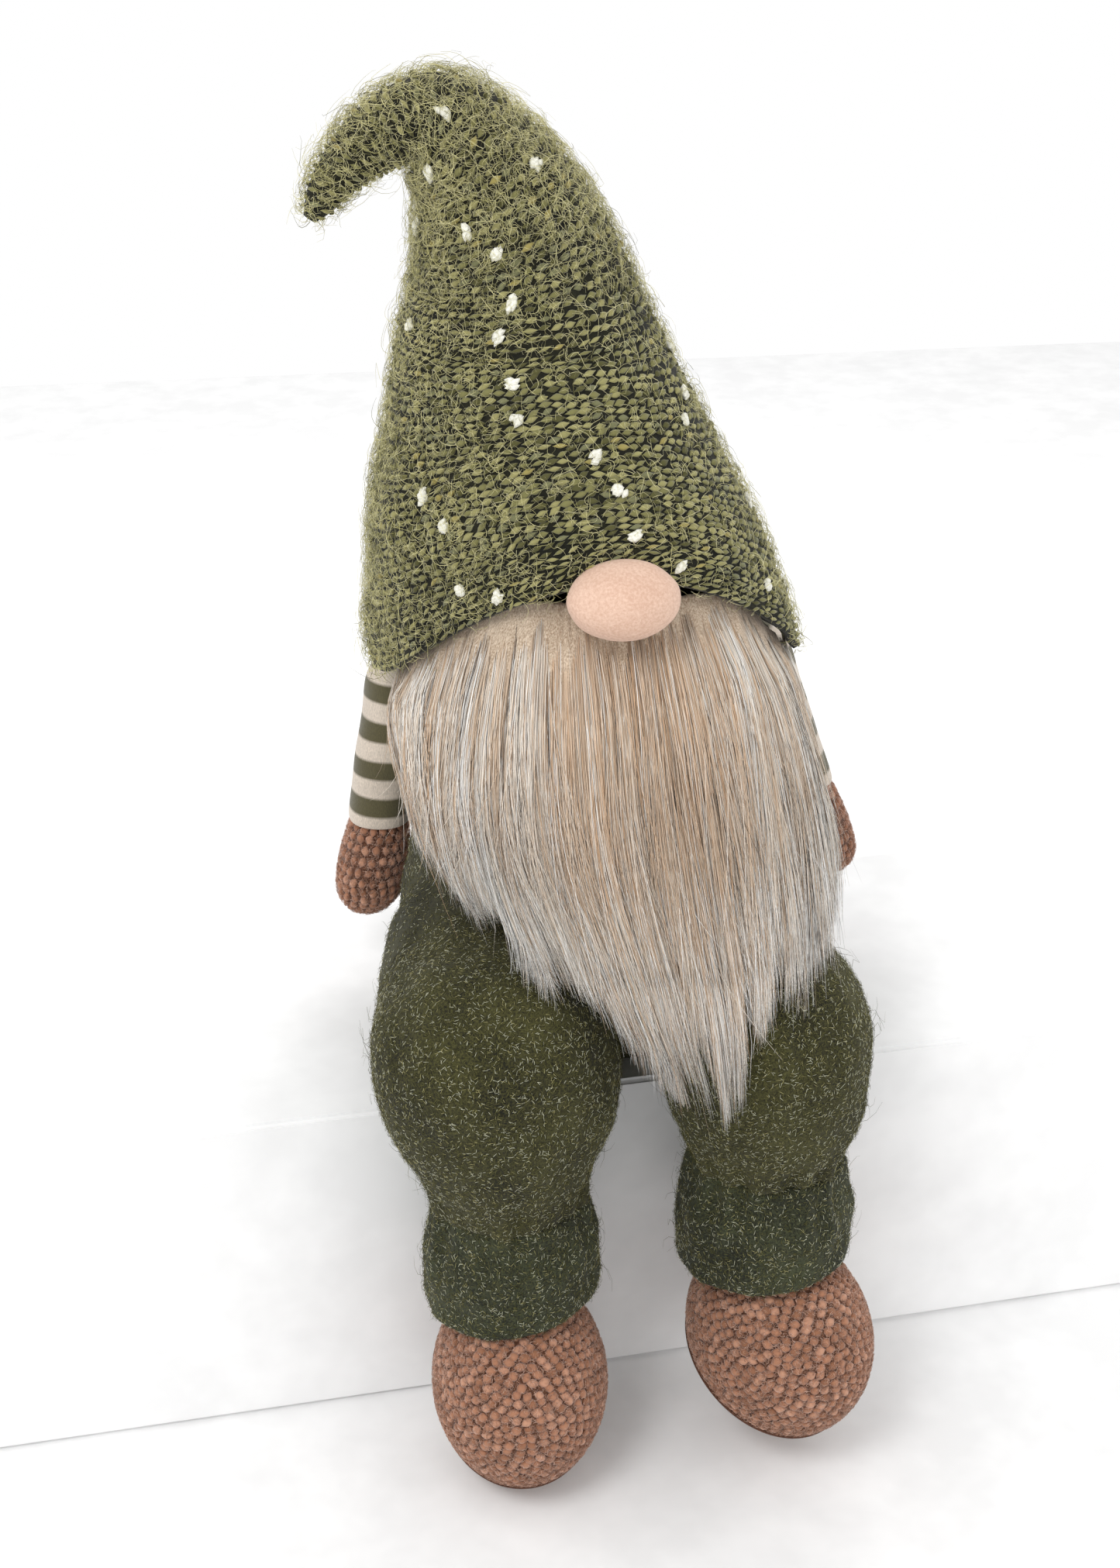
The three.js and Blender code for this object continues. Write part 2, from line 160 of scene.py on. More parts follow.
# ---- meshes
def make_mesh(name, points, faces, materials, slots=None):
    """faces is a list of integer arrays, one for each number of corners."""
    data = bpy.data.meshes.new(name)
    corners = np.concatenate([f.ravel() for f in faces]).astype(np.int32)
    sizes = np.concatenate([np.full(len(f), f.shape[1]) for f in faces])
    starts = np.concatenate([[0], np.cumsum(sizes)[:-1]]).astype(np.int32)
    data.vertices.add(len(points))
    data.vertices.foreach_set("co", (np.asarray(points) * MM).astype(np.float32).ravel())
    data.loops.add(len(corners))
    data.loops.foreach_set("vertex_index", corners)
    data.polygons.add(len(sizes))
    data.polygons.foreach_set("loop_start", starts)
    data.polygons.foreach_set("use_smooth", np.ones(len(sizes), bool))
    if slots is not None:
        data.polygons.foreach_set("material_index", np.asarray(slots, np.int32))
    data.update(calc_edges=True)
    data.validate()
    for material in materials:
        data.materials.append(material)
    made = bpy.data.objects.new(name, data)
    bpy.context.scene.collection.objects.link(made)
    return made


def ring_faces(rows, columns):
    """Quads between rings of points, and a fan at each end to a middle point."""
    k, i = np.meshgrid(np.arange(rows - 1), np.arange(columns), indexing="ij")
    j = (i + 1) % columns
    quads = np.stack([k * columns + i, k * columns + j, (k + 1) * columns + j, (k + 1) * columns + i], -1)
    i, j = np.arange(columns), (np.arange(columns) + 1) % columns
    first, last = rows * columns, rows * columns + 1
    low = np.stack([j, i, np.full(columns, first)], -1)
    top = (rows - 1) * columns
    high = np.stack([top + i, top + j, np.full(columns, last)], -1)
    return quads.reshape(-1, 4), np.concatenate([low, high])


def ring_solid(name, rings, materials):
    """A closed body from rings of points, each ring counter-clockwise and the next one above it."""
    rows, columns = rings.shape[:2]
    quads, fans = ring_faces(rows, columns)
    points = np.concatenate([rings.reshape(-1, 3), [rings[0].mean(0)], [rings[-1].mean(0)]])
    return make_mesh(name, points, [quads, fans], materials)


class Skin:
    """A surface given by rings, which stitches and hairs are planted on. u goes round and v along."""

    def __init__(self, rings):
        self.rings = rings

    def at(self, u, v):
        rows, columns = self.rings.shape[:2]
        a = (np.asarray(u) % 1) * columns
        i = a.astype(int) % columns
        fa = (a - np.floor(a))[:, None]
        j = (i + 1) % columns
        b = np.clip(v, 0, 1) * (rows - 1)
        k = np.minimum(b.astype(int), rows - 2)
        fb = (b - k)[:, None]
        p = self.rings
        low = p[k, i] * (1 - fa) + p[k, j] * fa
        high = p[k + 1, i] * (1 - fa) + p[k + 1, j] * fa
        return low * (1 - fb) + high * fb

    def frame(self, u, v):
        """Place, way round, way along and way out at each point."""
        e = 0.004
        round_ = unit(self.at(u + e, v) - self.at(u - e, v))
        along = self.at(u, v + e) - self.at(u, v - e)
        out = unit(np.cross(round_, along))
        return self.at(u, v), round_, np.cross(out, round_), out

    def row(self, v, pitch, offset):
        """u values evenly spaced along the ring at v, about a pitch apart."""
        u = np.arange(241) / 240
        p = self.at(u, np.full(241, v))
        run = np.concatenate([[0], np.cumsum(np.linalg.norm(np.diff(p, axis=0), axis=1))])
        count = max(5, round(run[-1] / pitch))
        return np.interp((np.arange(count) + offset) / count * run[-1], run, u)


def corners_of(obj):
    """The object's points in millimetres, its triangles and their normals and areas."""
    data = obj.data
    data.calc_loop_triangles()
    p = np.empty(len(data.vertices) * 3)
    data.vertices.foreach_get("co", p)
    p = p.reshape(-1, 3) / MM
    t = np.empty(len(data.loop_triangles) * 3, np.int32)
    data.loop_triangles.foreach_get("vertices", t)
    t = t.reshape(-1, 3)
    cross = np.cross(p[t[:, 1]] - p[t[:, 0]], p[t[:, 2]] - p[t[:, 0]])
    return p, t, unit(cross), np.linalg.norm(cross, axis=1) / 2


def scatter(obj, count, r, keep=None):
    """Random places on the surface and the way out there."""
    p, t, normal, area = corners_of(obj)
    if keep is not None:
        area = area * keep(p[t].mean(1), normal)
    pick = r.choice(len(t), count, p=area / area.sum())
    a, b = r.random(count), r.random(count)
    flip = a + b > 1
    a[flip], b[flip] = 1 - a[flip], 1 - b[flip]
    q = p[t[pick]]
    return q[:, 0] + a[:, None] * (q[:, 1] - q[:, 0]) + b[:, None] * (q[:, 2] - q[:, 0]), normal[pick]


def tubes(paths, radii):
    """Three-sided hairs along the paths (count, steps, 3), as points, quads and end triangles."""
    count, steps = paths.shape[:2]
    ahead = unit(np.gradient(paths, axis=1))
    side = unit(np.cross(ahead, [0.31, 0.22, 0.92]))
    other = np.cross(ahead, side)
    turns = around(3)
    ring = paths[:, :, None] + radii[:, :, None, None] * (
        np.cos(turns)[:, None] * side[:, :, None] + np.sin(turns)[:, None] * other[:, :, None]
    )
    base = (np.arange(count) * steps * 3)[:, None, None]
    s = (np.arange(steps - 1) * 3)[:, None]
    a = np.arange(3)
    b = (a + 1) % 3
    quads = np.stack([s + a, s + b, s + 3 + b, s + 3 + a], -1)[None] + base[..., None]
    end = (steps - 1) * 3
    caps = np.concatenate([base[:, 0] + [[2, 1, 0]], base[:, 0] + [[end, end + 1, end + 2]]])
    return ring.reshape(-1, 3), quads.reshape(-1, 4), caps


def hairs(name, paths, radii, materials, slots):
    """One piece of many hairs. slots is the material of each hair, or of each step of each hair."""
    steps = paths.shape[1]
    points, quads, caps = tubes(paths, radii)
    slots = np.asarray(slots)
    if slots.ndim == 1:
        slots = np.repeat(slots[:, None], steps - 1, 1)
    face_slots = np.concatenate([np.repeat(slots.ravel(), 3), slots[:, 0], slots[:, -1]])
    return make_mesh(name, points, [quads, caps], materials, face_slots)


def seeds(name, place, long_way, wide_way, out, size, materials, slots, sides, fullness):
    """One piece of many small closed lobes, such as stitches. size is (count, 3): length, width, height."""
    count = len(place)
    stations = np.linspace(-1, 1, len(fullness) + 2)[1:-1]
    turns = around(sides)
    shape = [(-1, 0, 0)]
    shape += [(s, w * np.cos(t), w * np.sin(t)) for s, w in zip(stations, fullness) for t in turns]
    shape += [(1, 0, 0)]
    shape = np.array(shape)[None] * size[:, None] / 2
    points = (
        place[:, None] + shape[..., :1] * long_way[:, None] + shape[..., 1:2] * wide_way[:, None]
        + shape[..., 2:] * out[:, None]
    )
    a = np.arange(sides)
    b = (a + 1) % sides
    starts = 1 + np.arange(len(fullness) - 1)[:, None] * sides
    quads = np.stack([starts + a, starts + b, starts + sides + b, starts + sides + a], -1).reshape(-1, 4)
    last = 1 + len(fullness) * sides
    tips = np.concatenate([
        np.stack([np.zeros(sides, int), 1 + b, 1 + a], -1),
        np.stack([np.full(sides, last), last - sides + a, last - sides + b], -1),
    ])
    base = (np.arange(count) * (last + 1))[:, None, None]
    face_slots = np.concatenate([np.repeat(slots, len(quads)), np.repeat(slots, len(tips))])
    return make_mesh(
        name, points.reshape(-1, 3), [(quads + base).reshape(-1, 4), (tips + base).reshape(-1, 3)],
        materials, face_slots,
    )


def fuzz(name, place, out, length, width, droop, curl, materials, slots, r, steps):
    """Short hairs that leave a surface and bend over it."""
    count = len(place)
    t = np.linspace(0, 1, steps)
    lean = unit(np.cross(out, unit(r.normal(size=(count, 3)))))
    second = unit(np.cross(out, lean))
    lift = (t - droop * t**2)[None, :, None] * out[:, None]
    over = (t**1.3)[None, :, None] * lean[:, None]
    swing = (np.sin(t[None] * r.uniform(2, 7, (count, 1))) * curl)[..., None] * second[:, None]
    paths = place[:, None] + length[:, None, None] * (lift + over + swing)
    radii = (width[:, None] * (1 - 0.7 * t)[None]) / 2
    return hairs(name, paths, radii, materials, slots)


# ---- materials
def srgb(r, g, b):
    c = np.array([r, g, b]) / 255
    c = np.where(c <= 0.04045, c / 12.92, ((c + 0.055) / 1.055) ** 2.4)
    return (float(c[0]), float(c[1]), float(c[2]), 1)


def plain(name, colour, roughness=0.8, sheen=0.0, specular=0.3, metallic=0.0):
    """A fibre's own finish: the pattern comes from many fibres of different colours."""
    m = bpy.data.materials.new(name)
    m.use_nodes = True
    s = m.node_tree.nodes["Principled BSDF"]
    s.inputs["Base Color"].default_value = srgb(*colour)
    s.inputs["Roughness"].default_value = roughness
    s.inputs["Sheen Weight"].default_value = sheen
    s.inputs["Specular IOR Level"].default_value = specular
    s.inputs["Metallic"].default_value = metallic
    return m


def palette(kind, rows):
    return [plain(kind + "_" + name, *values) for name, *values in rows]


def textured(name, dark, light, size, roughness, sheen, stretch=(1, 1, 1), depth=0.3, blotch=30):
    """Two colours mixed by coarse and fine noise. The fine one also gives roughness and relief."""
    m = plain(name, light, roughness, sheen)
    t = m.node_tree
    s = t.nodes["Principled BSDF"]

    def add(kind, **values):
        n = t.nodes.new(kind)
        for key, value in values.items():
            n.inputs[key].default_value = value
        return n

    where = t.nodes.new("ShaderNodeTexCoord")
    squeeze = add("ShaderNodeMapping", Scale=stretch)
    t.links.new(where.outputs["Object"], squeeze.inputs["Vector"])
    grain = add("ShaderNodeTexNoise", Scale=1 / (size * MM), Detail=4.0, Roughness=0.65)
    broad = add("ShaderNodeTexNoise", Scale=1 / (blotch * MM), Detail=2.0)
    t.links.new(squeeze.outputs[0], grain.inputs["Vector"])
    t.links.new(where.outputs["Object"], broad.inputs["Vector"])
    sum_ = t.nodes.new("ShaderNodeMath")
    sum_.operation = "MULTIPLY_ADD"
    sum_.inputs[1].default_value = 0.35
    t.links.new(broad.outputs["Fac"], sum_.inputs[0])
    t.links.new(grain.outputs["Fac"], sum_.inputs[2])
    ramp = t.nodes.new("ShaderNodeValToRGB")
    ramp.color_ramp.elements[0].position = 0.52
    ramp.color_ramp.elements[1].position = 0.86
    ramp.color_ramp.elements[0].color = srgb(*dark)
    ramp.color_ramp.elements[1].color = srgb(*light)
    t.links.new(sum_.outputs[0], ramp.inputs["Fac"])
    t.links.new(ramp.outputs["Color"], s.inputs["Base Color"])
    rough = t.nodes.new("ShaderNodeMapRange")
    rough.inputs["To Min"].default_value = roughness - 0.12
    rough.inputs["To Max"].default_value = min(1.0, roughness + 0.1)
    t.links.new(grain.outputs["Fac"], rough.inputs["Value"])
    t.links.new(rough.outputs[0], s.inputs["Roughness"])
    relief = add("ShaderNodeBump", Strength=depth, Distance=0.0006)
    t.links.new(grain.outputs["Fac"], relief.inputs["Height"])
    t.links.new(relief.outputs[0], s.inputs["Normal"])
    return m


def striped(name, first, second, period, start):
    """Jersey in two colours that change with height, with fine upright ribs."""
    edge = 0.04
    m = textured(name, first, first, 0.9, 0.9, 0.25, stretch=(3, 3, 0.6), depth=0.35)
    t = m.node_tree
    s = t.nodes["Principled BSDF"]
    ramp = next(n for n in t.nodes if n.type == "VALTORGB")
    other = t.nodes.new("ShaderNodeValToRGB")
    for colours, node in ((first, ramp), (second, other)):
        node.color_ramp.elements[0].color = srgb(*[c * 0.84 for c in colours])
        node.color_ramp.elements[1].color = srgb(*[min(255, c * 1.08) for c in colours])
        for element, place in zip(node.color_ramp.elements, (0.5, 0.9)):
            element.position = place
    t.links.new(ramp.inputs["Fac"].links[0].from_socket, other.inputs["Fac"])
    split = t.nodes.new("ShaderNodeSeparateXYZ")
    where = next(n for n in t.nodes if n.type == "TEX_COORD")
    t.links.new(where.outputs["Object"], split.inputs[0])

    def step(operation, source, value):
        n = t.nodes.new("ShaderNodeMath")
        n.operation = operation
        t.links.new(source, n.inputs[0])
        n.inputs[1].default_value = value
        return n.outputs[0]

    share = step("FRACT", step("DIVIDE", step("SUBTRACT", split.outputs["Z"], start * MM), period * MM), 0)
    wave = step("PINGPONG", step("ADD", share, 0.25), 0.5)
    band = t.nodes.new("ShaderNodeMapRange")
    band.inputs["From Min"].default_value = 0.25 - edge
    band.inputs["From Max"].default_value = 0.25 + edge
    t.links.new(wave, band.inputs["Value"])
    mix = t.nodes.new("ShaderNodeMix")
    mix.data_type = "RGBA"
    t.links.new(band.outputs[0], mix.inputs[0])
    t.links.new(ramp.outputs["Color"], mix.inputs[6])
    t.links.new(other.outputs["Color"], mix.inputs[7])
    t.links.new(mix.outputs[2], s.inputs["Base Color"])
    return m


HAT_BASE = textured("hat_ground", (9, 10, 4), (34, 33, 16), 1.6, 0.95, 0.1, depth=0.6)
STITCHES = palette("stitch", [
    ("mid", (118, 115, 70), 0.85, 0.3),
    ("light", (146, 141, 92), 0.85, 0.3),
    ("dark", (80, 78, 42), 0.9, 0.2),
    ("grey", (112, 112, 78), 0.85, 0.3),
    ("gold", (150, 138, 78), 0.8, 0.3),
])
SLUB = textured("slub", (206, 204, 186), (246, 245, 236), 0.8, 0.95, 0.5, depth=0.5)
MOHAIR = palette("mohair", [
    ("pale", (214, 207, 152), 0.6, 0.3),
    ("olive", (178, 172, 112), 0.6, 0.3),
    ("deep", (112, 108, 62), 0.6, 0.2),
])
TROUSERS = textured("trousers", (10, 10, 3), (76, 74, 39), 0.8, 0.95, 0.06, depth=0.6)
CUFF = textured("cuffs", (12, 14, 7), (70, 74, 50), 0.8, 0.95, 0.06, depth=0.6)
LUREX = palette("lurex", [
    ("gold", (180, 172, 118), 0.4, 0.0, 0.5, 0.2),
    ("silver", (212, 212, 186), 0.4, 0.0, 0.5, 0.2),
    ("moss", (96, 94, 50), 0.6, 0.0),
])
NAP = palette("nap", [("olive", (66, 63, 32), 0.8, 0.0), ("pale", (112, 108, 68), 0.8, 0.0)])
CREAM_YARN, GREEN_YARN, STRIPE_PITCH = (206, 193, 178), (84, 78, 52), 17.8
JERSEY = {}
for name, place in ARMS.items():
    first_stripe = place["z"] - SLEEVE_LENGTH + 6
    JERSEY[name] = striped("striped_jersey_" + name, CREAM_YARN, GREEN_YARN, STRIPE_PITCH, first_stripe)
# The chenille knit's ground is coloured darker than its lobes: painted shade in the gaps between the lobes,
# on the boots and the mitts.
CHENILLE_SHADED_GROUND = textured("chenille_ground_painted_shade", (74, 42, 26), (116, 78, 56), 1.5, 0.95, 0.3, depth=0.6)
CHENILLE = palette("chenille", [
    ("mid", (162, 114, 87), 0.9, 0.35),
    ("light", (182, 135, 109), 0.9, 0.35),
    ("deep", (142, 97, 71), 0.9, 0.3),
    ("pink", (214, 176, 155), 0.9, 0.35),
])
SOLE_SEAM = textured("sole_seam", (62, 36, 24), (98, 62, 44), 1.2, 0.95, 0.2)
FELT = textured("nose_felt", (200, 164, 143), (221, 190, 170), 1.1, 0.95, 0.15, depth=0.2, blotch=18)
FUR = palette("fur", [
    ("tan", (224, 201, 176), 0.55, 0.1),
    ("cream", (236, 225, 211), 0.55, 0.1),
    ("silver", (214, 208, 200), 0.5, 0.1),
    ("taupe", (186, 163, 140), 0.55, 0.1),
    ("dark", (64, 54, 48), 0.5, 0.0),
    ("white", (248, 247, 244), 0.5, 0.1),
    ("ginger", (214, 180, 146), 0.55, 0.1),
])
TAN, CREAM, SILVER, TAUPE, DARK, WHITE, GINGER = range(7)
UNDERFUR = textured(
    "underfur", (150, 126, 102), (220, 202, 180), 1.6, 0.8, 0.2, stretch=(3, 3, 0.16), depth=0.7,
)
FILLING = textured("filling", (206, 204, 196), (240, 239, 234), 2.5, 0.95, 0.3)
GRANULES = textured("weight_granules", (150, 148, 140), (214, 212, 204), 2.0, 0.7, 0.0, depth=0.6)
SEAT_CLOTH = textured("seat_cloth", (36, 35, 20), (74, 72, 46), 0.9, 0.92, 0.2)
BACKING = textured("fur_backing", (150, 132, 110), (196, 178, 154), 1.2, 0.92, 0.1)
STEEL = textured("wire_steel", (120, 120, 118), (168, 168, 166), 1.0, 0.4, 0.0)
STEEL.node_tree.nodes["Principled BSDF"].inputs["Metallic"].default_value = 1.0


# ---- camera, light, stage
def soft_light(name, place, aim, size, power, colour=(1, 1, 1)):
    data = bpy.data.lights.new(name, "AREA")
    data.shape = "DISK"
    data.size = size
    data.energy = power
    data.color = colour
    made = bpy.data.objects.new(name, data)
    made.location = place
    made.rotation_euler = (Vector(aim) - Vector(place)).to_track_quat("-Z", "Y").to_euler()
    bpy.context.scene.collection.objects.link(made)


CAMERA_PLACE = (-0.134, -0.8664, 0.5446)
CAMERA_PITCH, CAMERA_YAW = 26.72, 8.04  # degrees down and towards the gnome's left
CAMERA_LENS = 52.18


def studio():
    scene = bpy.context.scene
    data = bpy.data.cameras.new("camera")
    data.sensor_width = 36
    data.lens = CAMERA_LENS
    camera = bpy.data.objects.new("camera", data)
    camera.location = CAMERA_PLACE
    camera.rotation_euler = (np.radians(90 - CAMERA_PITCH), 0, np.radians(-CAMERA_YAW))
    scene.collection.objects.link(camera)
    scene.camera = camera
    scene.view_settings.view_transform = "Standard"
    world = bpy.data.worlds.new("studio")
    scene.world = world
    world.use_nodes = True
    background = world.node_tree.nodes["Background"]
    background.inputs["Color"].default_value = (1, 1, 1, 1)
    background.inputs["Strength"].default_value = 1.0
    soft_light("key", (-0.7, -0.9, 1.3), (0, -0.05, 0.12), 0.6, 9)
    soft_light("fill", (0.9, -0.9, 0.5), (0, -0.05, 0.1), 0.8, 1.5)
    soft_light("rim", (0.2, 0.9, 0.9), (0, 0, 0.2), 0.8, 4)


FLOOR_HEIGHT, FLOOR_HALF = -152, 1500
LEDGE_HALF_WIDTH, LEDGE_FRONT, LEDGE_BACK, LEDGE_TOP = 330, -75, 95, -0.6
LEDGE_TURN = 4.19  # degrees


def pale_stage():
    pale = textured("pale_stage", (238, 238, 238), (246, 246, 246), 60, 0.8, 0.0, depth=0.0)
    points = FLOOR_HALF * np.array([(-1, -1, 0), (1, -1, 0), (1, 1, 0), (-1, 1, 0.0)]) + [0, 0, FLOOR_HEIGHT]
    floor = make_mesh("floor", points, [np.array([[0, 1, 2, 3]])], [pale])
    box = bmesh.new()
    bmesh.ops.create_cube(box, size=1)
    for v in box.verts:
        share = np.array(v.co) + [0, 0.5, 0.5]
        size = np.array([2 * LEDGE_HALF_WIDTH, LEDGE_BACK - LEDGE_FRONT, LEDGE_TOP - FLOOR_HEIGHT])
        v.co = Vector(turn_z(share * size + [0, LEDGE_FRONT, FLOOR_HEIGHT], LEDGE_TURN) * MM)
    bmesh.ops.bevel(box, geom=box.edges[:], offset=0.002, segments=3, affect="EDGES")
    data = bpy.data.meshes.new("ledge")
    box.to_mesh(data)
    box.free()
    data.materials.append(pale)
    ledge = bpy.data.objects.new("ledge", data)
    bpy.context.scene.collection.objects.link(ledge)


studio()
pale_stage()


# ---- hat
DROOP_X = -60  # the tip hangs down beyond this


def hat_rings(rows, columns):
    path = curve(HAT_PATH, np.linspace(0, 1, rows))
    x, z, radius = path.T
    ahead = np.gradient(path[:, :2], axis=0)
    run_height = np.where(x < DROOP_X, 400, z)  # past the top of the curl it counts as high up
    tilt = np.arctan2(-ahead[:, 0], ahead[:, 1]) * smooth(285, 350, run_height)
    u = around(columns)
    radius = radius[:, None]
    depth = (HAT_DEPTH + (1 - HAT_DEPTH) * smooth(300, 350, run_height))[:, None]
    across = radius * np.cos(u)
    points = np.stack([
        x[:, None] + across * np.cos(tilt)[:, None],
        radius * np.sin(u) * depth,
        z[:, None] + across * np.sin(tilt)[:, None],
    ], -1)
    front = np.maximum(0, -np.sin(u)) ** 1.6
    fade = np.clip((ARCH_TOP - z) / (ARCH_TOP - BRIM_HEIGHT), 0, 1) * (x > DROOP_X)
    points[..., 2] += BRIM_ARCH * front * fade[:, None]
    return points


def hat_surface():
    rings = hat_rings(240, 160)
    out = unit(np.cross(np.roll(rings, -1, 1) - np.roll(rings, 1, 1), np.gradient(rings, axis=0)))
    swell = lumps(rings, 46, 3) * 1.0 + lumps(rings, 17, 4) * 0.4
    return rings + out * (swell + 0.2)[..., None]


hat_skin = Skin(hat_surface())


LINING = [  # ring of the hat's surface, how far it is drawn in, and how far it is lowered
    (62, 6, 0), (50, 5.5, 0), (38, 5, 0), (26, 5, 0), (14, 4.5, 0), (6, 4, 0), (2, 3.2, 0.6), (0, 1.6, 1.1),
]


def hat_lining():
    """The inside of the brim: the outer surface again, drawn in, up to where the head fills the hat."""
    rows, drawn_in, lowered = np.array(LINING)[..., None, None].transpose(1, 0, 2, 3)
    rings = hat_skin.rings[rows.ravel().astype(int)]
    outward = unit((rings - rings.mean(1, keepdims=True)) * [1, 1, 0])
    return rings - outward * drawn_in - lowered * [0, 0, 1]


lining = hat_lining()
hat_base = ring_solid("hat_ground", np.concatenate([lining, hat_skin.rings]), [HAT_BASE])


ROW_PITCH = 4.2


def hat_stitches():
    r = np.random.default_rng(11)
    made = []
    heights = curve(HAT_PATH, np.linspace(0, 1, 400))
    run = np.concatenate([[0], np.cumsum(np.linalg.norm(np.diff(heights[:, :2], axis=0), axis=1))])
    rows = ROW_PITCH * np.arange(33)
    rows = np.concatenate([rows + 1.0, np.arange(rows[-1] + 4.6, run[-1] - 2, 3.5)])
    for k, along in enumerate(rows):
        v = np.interp(along, run, np.linspace(0, 1, 400))
        u = hat_skin.row(v, 5.0, 0.5 * (k % 2))
        n = len(u)
        u = u + r.normal(0, 0.0011, n)
        vs = np.full(n, v) + r.normal(0, 0.0009, n)
        p, a, b, o = hat_skin.frame(u, vs)
        rise = np.linalg.norm(hat_skin.at(u, vs + 0.01) - hat_skin.at(u, vs - 0.01), axis=1) / 0.02
        pitch = np.clip(rise * ROW_PITCH / run[-1], 2.4, ROW_PITCH)
        tilt = np.radians(14 + r.normal(0, 9, n))[:, None]
        place = p + o * (0.2 + r.normal(0, 0.25, (n, 1)))
        size = [r.uniform(5.0, 6.8, n), pitch * r.uniform(0.52, 0.74, n), r.uniform(1.8, 2.6, n)]
        made.append((place, *crossed(a, b, tilt), o, np.stack(size, -1)))
    stack = [np.concatenate(x) for x in zip(*made)]
    slots = r.choice(5, len(stack[0]), p=[0.4, 0.25, 0.22, 0.1, 0.03])
    return seeds("hat_stitches", *stack, STITCHES, slots, 8, (0.34, 0.8, 1, 0.8, 0.34))


FRONT_TUFTS = [  # share of the way round, 0.75 being the front, and share of the way up
    (0.81, 0.68), (0.646, 0.645), (0.858, 0.58), (0.68, 0.55), (0.724, 0.515), (0.725, 0.455),
    (0.7, 0.405), (0.708, 0.318), (0.708, 0.283), (0.922, 0.298), (0.893, 0.281), (0.767, 0.233),
    (0.772, 0.18), (0.611, 0.208), (0.631, 0.173), (0.94, 0.193), (0.64, 0.08), (0.668, 0.035),
    (0.771, 0.118), (0.797, 0.055), (0.888, 0.08), (0.972, 0.331),
]


def hat_slubs():
    """White tufts of wool caught in the knit, in a scattered pattern all round."""
    r = np.random.default_rng(5)
    spots = FRONT_TUFTS + [(r.uniform(0.02, 0.55), v) for v in np.linspace(0.05, 0.8, 20)]
    u, v = np.array(spots).T
    p, a, b, o = hat_skin.frame(u, v)
    made = []
    for i in range(len(u)):
        slope = r.uniform(0.2, 1.4)
        for _ in range(9):
            tilt = slope + r.normal(0, 0.3)
            shift = a[i] * r.normal(0, 0.7) + b[i] * r.normal(0, 0.9)
            place = p[i] + shift + o[i] * r.uniform(1.2, 2.2)
            size = [r.uniform(4, 5.6), r.uniform(2.2, 3.2), r.uniform(2.0, 2.8)]
            made.append((place, *crossed(a[i], b[i], tilt), o[i], size))
    stack = [np.array(x) for x in zip(*made)]
    return seeds("hat_slubs", *stack, [SLUB], np.zeros(len(made), int), 10, (0.45, 0.8, 1, 0.8, 0.45))


def hat_mohair():
    r = np.random.default_rng(21)

    def thick(c, n):
        share = 0.6 + 2.0 * smooth(290, 375, c[:, 2]) + 0.9 * smooth(0, 0.9, -n[:, 0])
        return np.where(n[:, 2] < -0.8, 0.0, 1.0) * share

    place, out = scatter(hat_base, 21000, r, thick)
    outward = ((place - [-8, 0, 0]) * [1, 1, 0] * out).sum(1) > 0
    outside = outward | (place[:, 2] > 300)
    place, out = place[outside], out[outside]
    n = len(place)
    length = r.uniform(3.5, 9, n) * np.where(r.random(n) < 0.12, 1.8, 1)
    slots = r.choice(3, n, p=[0.5, 0.34, 0.16])
    width = r.uniform(0.16, 0.28, n)
    return fuzz("hat_mohair", place + out, out, length, width, 0.8, 0.3, MOHAIR, slots, r, 7)


hat_pieces = [hat_base, hat_stitches(), hat_slubs(), hat_mohair()]
for piece in hat_pieces:
    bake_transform(piece)
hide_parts("hat_knit_lower", "hat_knit_tip", "hat_stuffing_lower", "hat_stuffing_tip")


# ---- nose
def ball_rings(rows, columns):
    tilt = np.linspace(-np.pi / 2 + 0.02, np.pi / 2 - 0.02, rows)[:, None]
    u = around(columns)
    level = np.sin(tilt) * np.ones(columns)
    return np.stack([np.cos(tilt) * np.cos(u), np.cos(tilt) * np.sin(u), level], -1)


def nose_piece():
    rings = ball_rings(60, 90)
    points = NOSE + rings * NOSE_SIZE * (1 + 0.012 * lumps(rings, 0.7, 6))[..., None]
    made = ring_solid("nose", points, [FELT])
    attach(made, "torso")
    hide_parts("nose_cover")


nose_piece()


# ---- overalls: torso and legs
SLACK = 0.5  # the cover starts this much smaller, because it swells
SPLIT_Y, SPLIT_HEIGHT = -80, 93  # the legs are their own pieces in front of and below this


def torso_rings(rows=60, columns=96):
    outline = np.array(TORSO_OUTLINE, float)
    run = np.concatenate([[0], np.cumsum(np.linalg.norm(np.diff(outline, axis=0), axis=1))])
    at = np.linspace(0.5, run[-1] - 0.5, rows)
    radius = np.interp(at, run, outline[:, 0])
    z = np.interp(at, run, outline[:, 1])
    u = around(columns)
    stretch = lambda part: np.sign(part) * np.abs(part) ** (2 / TORSO_FULLNESS)
    radius = np.maximum(radius - SLACK, 0.3)[:, None]
    z = z[:, None] * np.ones(columns)
    return np.stack([radius * stretch(np.cos(u)), radius * SEAT_DEPTH * stretch(np.sin(u)), z], -1)


def leg_outline(drop):
    round_ = [(HIP_RADIUS * np.cos(a), HIP_RADIUS * np.sin(a)) for a in np.radians([75, 60, 45, 30, 15])]
    end = ANKLE_RIM - drop
    taper = [(36.5, -0.68 * drop), (41.5, -0.45 * drop), (44, -0.25 * drop), (45, 0)]
    return np.array([(32.5, end - 4), (32.3, end + 1), (32.6, end + 7), *taper, *round_[::-1]])


